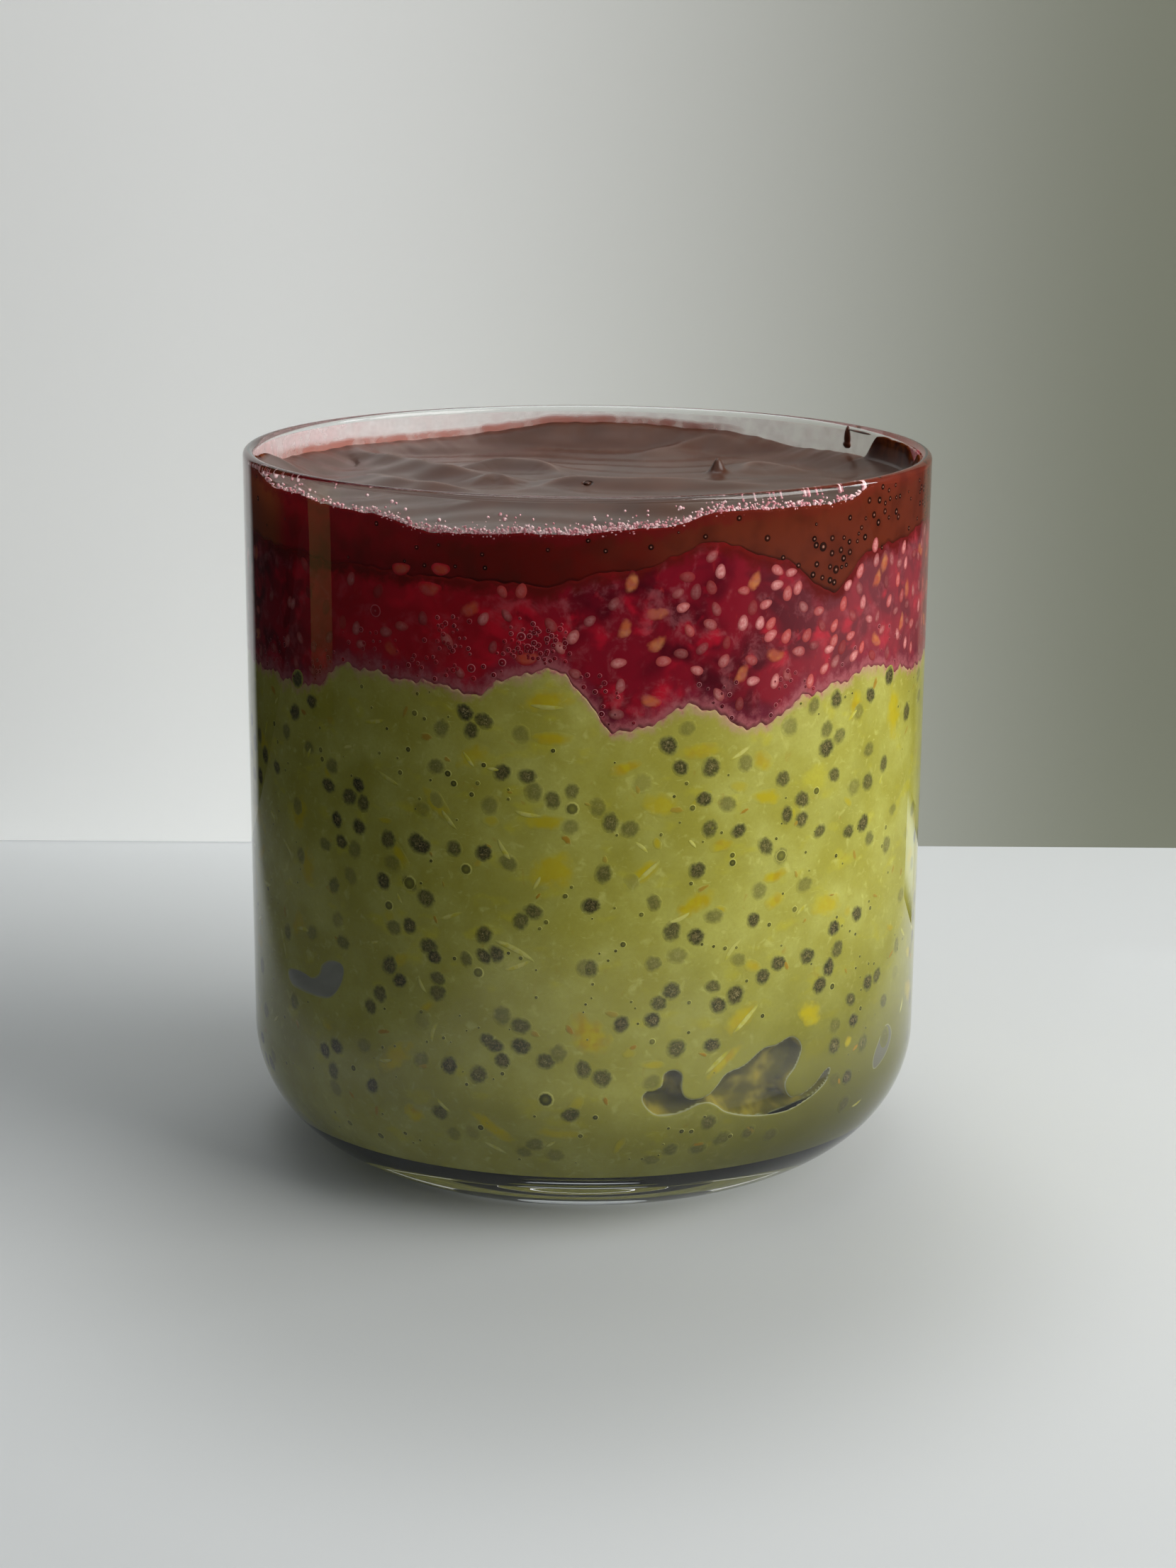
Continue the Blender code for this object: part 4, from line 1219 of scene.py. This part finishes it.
def make_foam():
    """Tiny bubbles where the chocolate meets the front of the glass, as small balls against it."""
    draw = np.random.default_rng(51)
    angle = np.concatenate([
        draw.uniform(-80, 52, 900), np.clip(draw.normal(0, 18, 800), -45, 45), draw.uniform(-75, 45, 130),
    ])
    spread = np.concatenate([
        draw.normal(0.12, 0.26, 900), draw.normal(0.16, 0.36, 800), draw.uniform(0.3, 2.2, 130),
    ])
    radius = draw.uniform(0.07, 0.17, len(angle)) * draw.choice([1, 1, 1, 1.5], len(angle))
    height = np.minimum(chocolate_edge(angle) + spread, GLASS_HEIGHT - 1)
    centres = wall_point(angle, height, -REACH - radius * 0.55)
    rings, around = 3, 7
    tilt = np.linspace(0, math.pi, rings + 2)[1:-1]
    turn = np.arange(around) * 2 * math.pi / around
    ball = [(math.sin(t) * math.cos(p), math.sin(t) * math.sin(p), math.cos(t)) for t in tilt for p in turn]
    ball = np.array(ball + [(0, 0, 1), (0, 0, -1)])
    last = rings * around
    quads = grid_faces(rings, around, True)
    faces = [quads[:, [0, 1, 2]], quads[:, [0, 2, 3]]]
    faces += [fan(np.arange(around), last), fan(np.arange(around) + last - around, last + 1, flip=True)]
    one = np.concatenate(faces)
    points = centres[:, None] + ball[None] * radius[:, None, None]
    every = (one[None] + (np.arange(len(angle)) * len(ball))[:, None, None]).reshape(-1, 3)
    belongs(new_piece("foam_line", points.reshape(-1, 3), every, foam_finish()))


def make_film():
    """Stains of berry juice on the inside of the glass above the chocolate, as one thin shell."""
    angles = np.arange(-180, 180, 1.5)
    edge = chocolate_edge(angles)
    top = np.full(len(angles), GLASS_HEIGHT - WALL / 2 - 0.05)
    low = np.minimum(edge - 0.5, top - 0.4)
    shares = np.concatenate([np.linspace(0, 1, 14), np.linspace(1, 0, 14)])[:, None]
    heights = low + (top - low) * shares
    out = np.repeat([-REACH + 0.02, -REACH - 0.06], 14)[:, None]
    points = wall_point(angles, heights, out).reshape(-1, 3)
    rows, columns = heights.shape
    first = np.arange(columns)
    last = first + (rows - 1) * columns
    closing = np.stack([last, first, np.roll(first, -1), np.roll(last, -1)], axis=-1)
    faces = [grid_faces(rows, columns, True), closing]
    back_left = smoothstep((-95 - angles) / 20) + smoothstep((angles - 140) / 20)
    left = smoothstep((-70 - angles) / 15) * smoothstep((angles + 150) / 30)
    right = smoothstep((angles - 78) / 10) * smoothstep((112 - angles) / 8)
    back = smoothstep((np.abs(angles) - 100) / 30)
    haze = np.maximum.reduce([0.55 * left, 0.6 * right, 0.22 * back])
    values = {"above": heights - edge, "band": back_left, "haze": haze, "magenta": right}
    values = {key: np.broadcast_to(value, heights.shape) for key, value in values.items()}
    belongs(new_piece("berry_film", points, faces, film_finish(), attributes=values))


# Camera, light and backdrop

CAMERA_AT = (0.0, -0.353, 0.1367)
CAMERA_DOWN = 14.49
CAMERA_ROLL = 0.4
CAMERA_YAW = -0.058
LONG_SIDE_PIXELS = 2212
FOCAL_PIXELS = 3977
SENSOR_MM = 36.0
WALL_BEHIND = 0.133


def stage_finish(name, **inputs):
    return principled(name, Roughness=0.7, Specular_IOR_Level=0.2, **inputs)


def stage_plane(name, finish, **where):
    bpy.ops.mesh.primitive_plane_add(size=3, **where)
    plane = bpy.context.object
    plane.name = name
    plane.data.materials.append(finish)
    return plane


def make_floor():
    """A pale cloth-like floor, shaded before the glass, with a painted glow under it and dark outside the
    frame.
    """
    made, tree = stage_finish("pale floor")
    shaded = tree.ramp(tree.away((-0.005, -0.045, 0)), 0.03, 0.075, 0.45, 0)
    colour = tree.mix(shaded, (0.60, 0.615, 0.62), (0.26, 0.27, 0.26))
    frame_edge = tree.math("ADD", tree.times(tree.along("Y"), 0.2), 0.084)
    aside = tree.math("SUBTRACT", tree.math("ABSOLUTE", tree.along("X")), frame_edge)
    colour = tree.mix(tree.ramp(aside, 0.0, 0.025, 0, 0.8), colour, (0.10, 0.10, 0.09))
    colour = tree.mix(tree.ramp(tree.away((0, 0.03, 0)), 0.155, 0.21), colour, (0.045, 0.045, 0.045))
    # Painted light: a faint glow on the floor under the glass.
    under = tree.ramp(tree.away((0, 0, 0)), 0.026, 0.032, 0.32, 0)
    tree.feed(Base_Color=colour, Emission_Color=(0.85, 0.92, 1.0, 1), Emission_Strength=under)
    stage_plane("floor", made, location=(0, 0, -0.0002))


def make_wall():
    """A wall painted lit pale to shaded olive grey, with a faint painted glow, dark outside the frame and
    clear from behind.
    """
    made, tree = stage_finish("pale wall")
    across = tree.along("X")
    # Painted light and shade across the wall, and a faint painted glow.
    colour = tree.mix(tree.ramp(across, -0.07, 0.11), (0.80, 0.81, 0.80), (0.17, 0.178, 0.137))
    aside = tree.ramp(tree.math("ABSOLUTE", across), 0.115, 0.14)
    colour = tree.mix(aside, colour, (0.02, 0.02, 0.02))
    tree.feed(Base_Color=colour, Emission_Color=colour, Emission_Strength=0.22)
    back = tree.node("ShaderNodeNewGeometry").outputs["Backfacing"]
    tree.surface(back, tree.shader, tree.node("ShaderNodeBsdfTransparent"))
    wall = stage_plane("wall", made, location=(0, WALL_BEHIND, 1.5), rotation=(math.pi / 2, 0, 0))
    wall.visible_shadow = False


def glow_card(name, ends, heights, colour, strength):
    """An upright card beside the glass, brightest halfway up, seen only in the reflections."""
    low, high = heights
    corners = [(*ends[0], low), (*ends[1], low), (*ends[1], high), (*ends[0], high)]
    mesh = bpy.data.meshes.new(name)
    mesh.from_pydata(corners, [], [range(4)])
    made, tree = stage_finish(name, Base_Color=(0, 0, 0, 1), Emission_Color=(*colour, 1))
    height, reach = tree.along("Z"), (high - low) / 3
    falling = tree.ramp(height, high - reach, high, strength, 0)
    tree.feed(Emission_Strength=tree.times(tree.ramp(height, low, low + reach), falling))
    mesh.materials.append(made)
    card = bpy.data.objects.new(name, mesh)
    bpy.context.scene.collection.objects.link(card)
    card.visible_camera = False
    card.visible_shadow = False
    card.visible_diffuse = False


def area_light(name, place, target, size, power, colour):
    light = bpy.data.lights.new(name, "AREA")
    light.shape = "RECTANGLE"
    light.size, light.size_y = size
    light.energy = power
    light.color = colour
    obj = bpy.data.objects.new(name, light)
    obj.location = place
    aim = Vector(target) - Vector(place)
    obj.rotation_euler = aim.to_track_quat("-Z", "Y").to_euler()
    bpy.context.scene.collection.objects.link(obj)


def make_light():
    world = bpy.data.worlds.new("soft daylight")
    bpy.context.scene.world = world
    world.use_nodes = True
    tree = Tree(world.node_tree)
    direction = tree.node("ShaderNodeTexCoord").outputs["Generated"]
    up = tree.node("ShaderNodeSeparateXYZ", {0: direction}).outputs["Z"]
    colour = tree.mix(tree.ramp(up, 0.22, 0.75), (0.03, 0.03, 0.03), (0.80, 0.84, 0.86))
    background = world.node_tree.nodes["Background"]
    background.inputs["Strength"].default_value = 0.58
    tree.put(background.inputs["Color"], colour)
    area_light("window", (0.50, -0.20, 0.42), (0, 0, 0.04), (0.5, 0.5), 4.6, (1.0, 0.99, 0.96))
    area_light("overhead", (0.0, 0.10, 0.50), (0, 0, 0.09), (0.34, 0.12), 0.42, (0.96, 0.98, 1.0))
    area_light("side window", (0.42, 0.09, 0.26), (0, 0, 0.09), (0.10, 0.16), 0.35, (0.95, 0.98, 1.0))
    glow_card("low window", ((0.082, 0.078), (0.112, 0.078)), (0.0, 0.020), (0.9, 0.97, 1.0), 0.9)
    glow_card("olive strip", ((-0.12, -0.028), (-0.12, -0.008)), (0.040, 0.095), (0.52, 0.46, 0.16), 0.42)
    bpy.context.scene.view_settings.view_transform = "Standard"


def make_camera():
    data = bpy.data.cameras.new("camera")
    data.sensor_width = SENSOR_MM
    data.lens = FOCAL_PIXELS * SENSOR_MM / LONG_SIDE_PIXELS
    data.clip_start = 0.01
    camera = bpy.data.objects.new("camera", data)
    camera.location = CAMERA_AT
    turns = (("Z", CAMERA_YAW), ("X", 90 - CAMERA_DOWN), ("Z", CAMERA_ROLL))
    yaw, pitch, roll = (Matrix.Rotation(math.radians(turn), 3, axis) for axis, turn in turns)
    camera.rotation_euler = (yaw @ pitch @ roll).to_euler()
    bpy.context.scene.collection.objects.link(camera)
    bpy.context.scene.camera = camera


make_camera()
make_light()
make_floor()
make_wall()
make_glass()
make_oats()
make_berries()
make_chocolate()
make_oats_contents()
make_berry_contents()
make_chocolate_contents()
make_foam()
make_film()
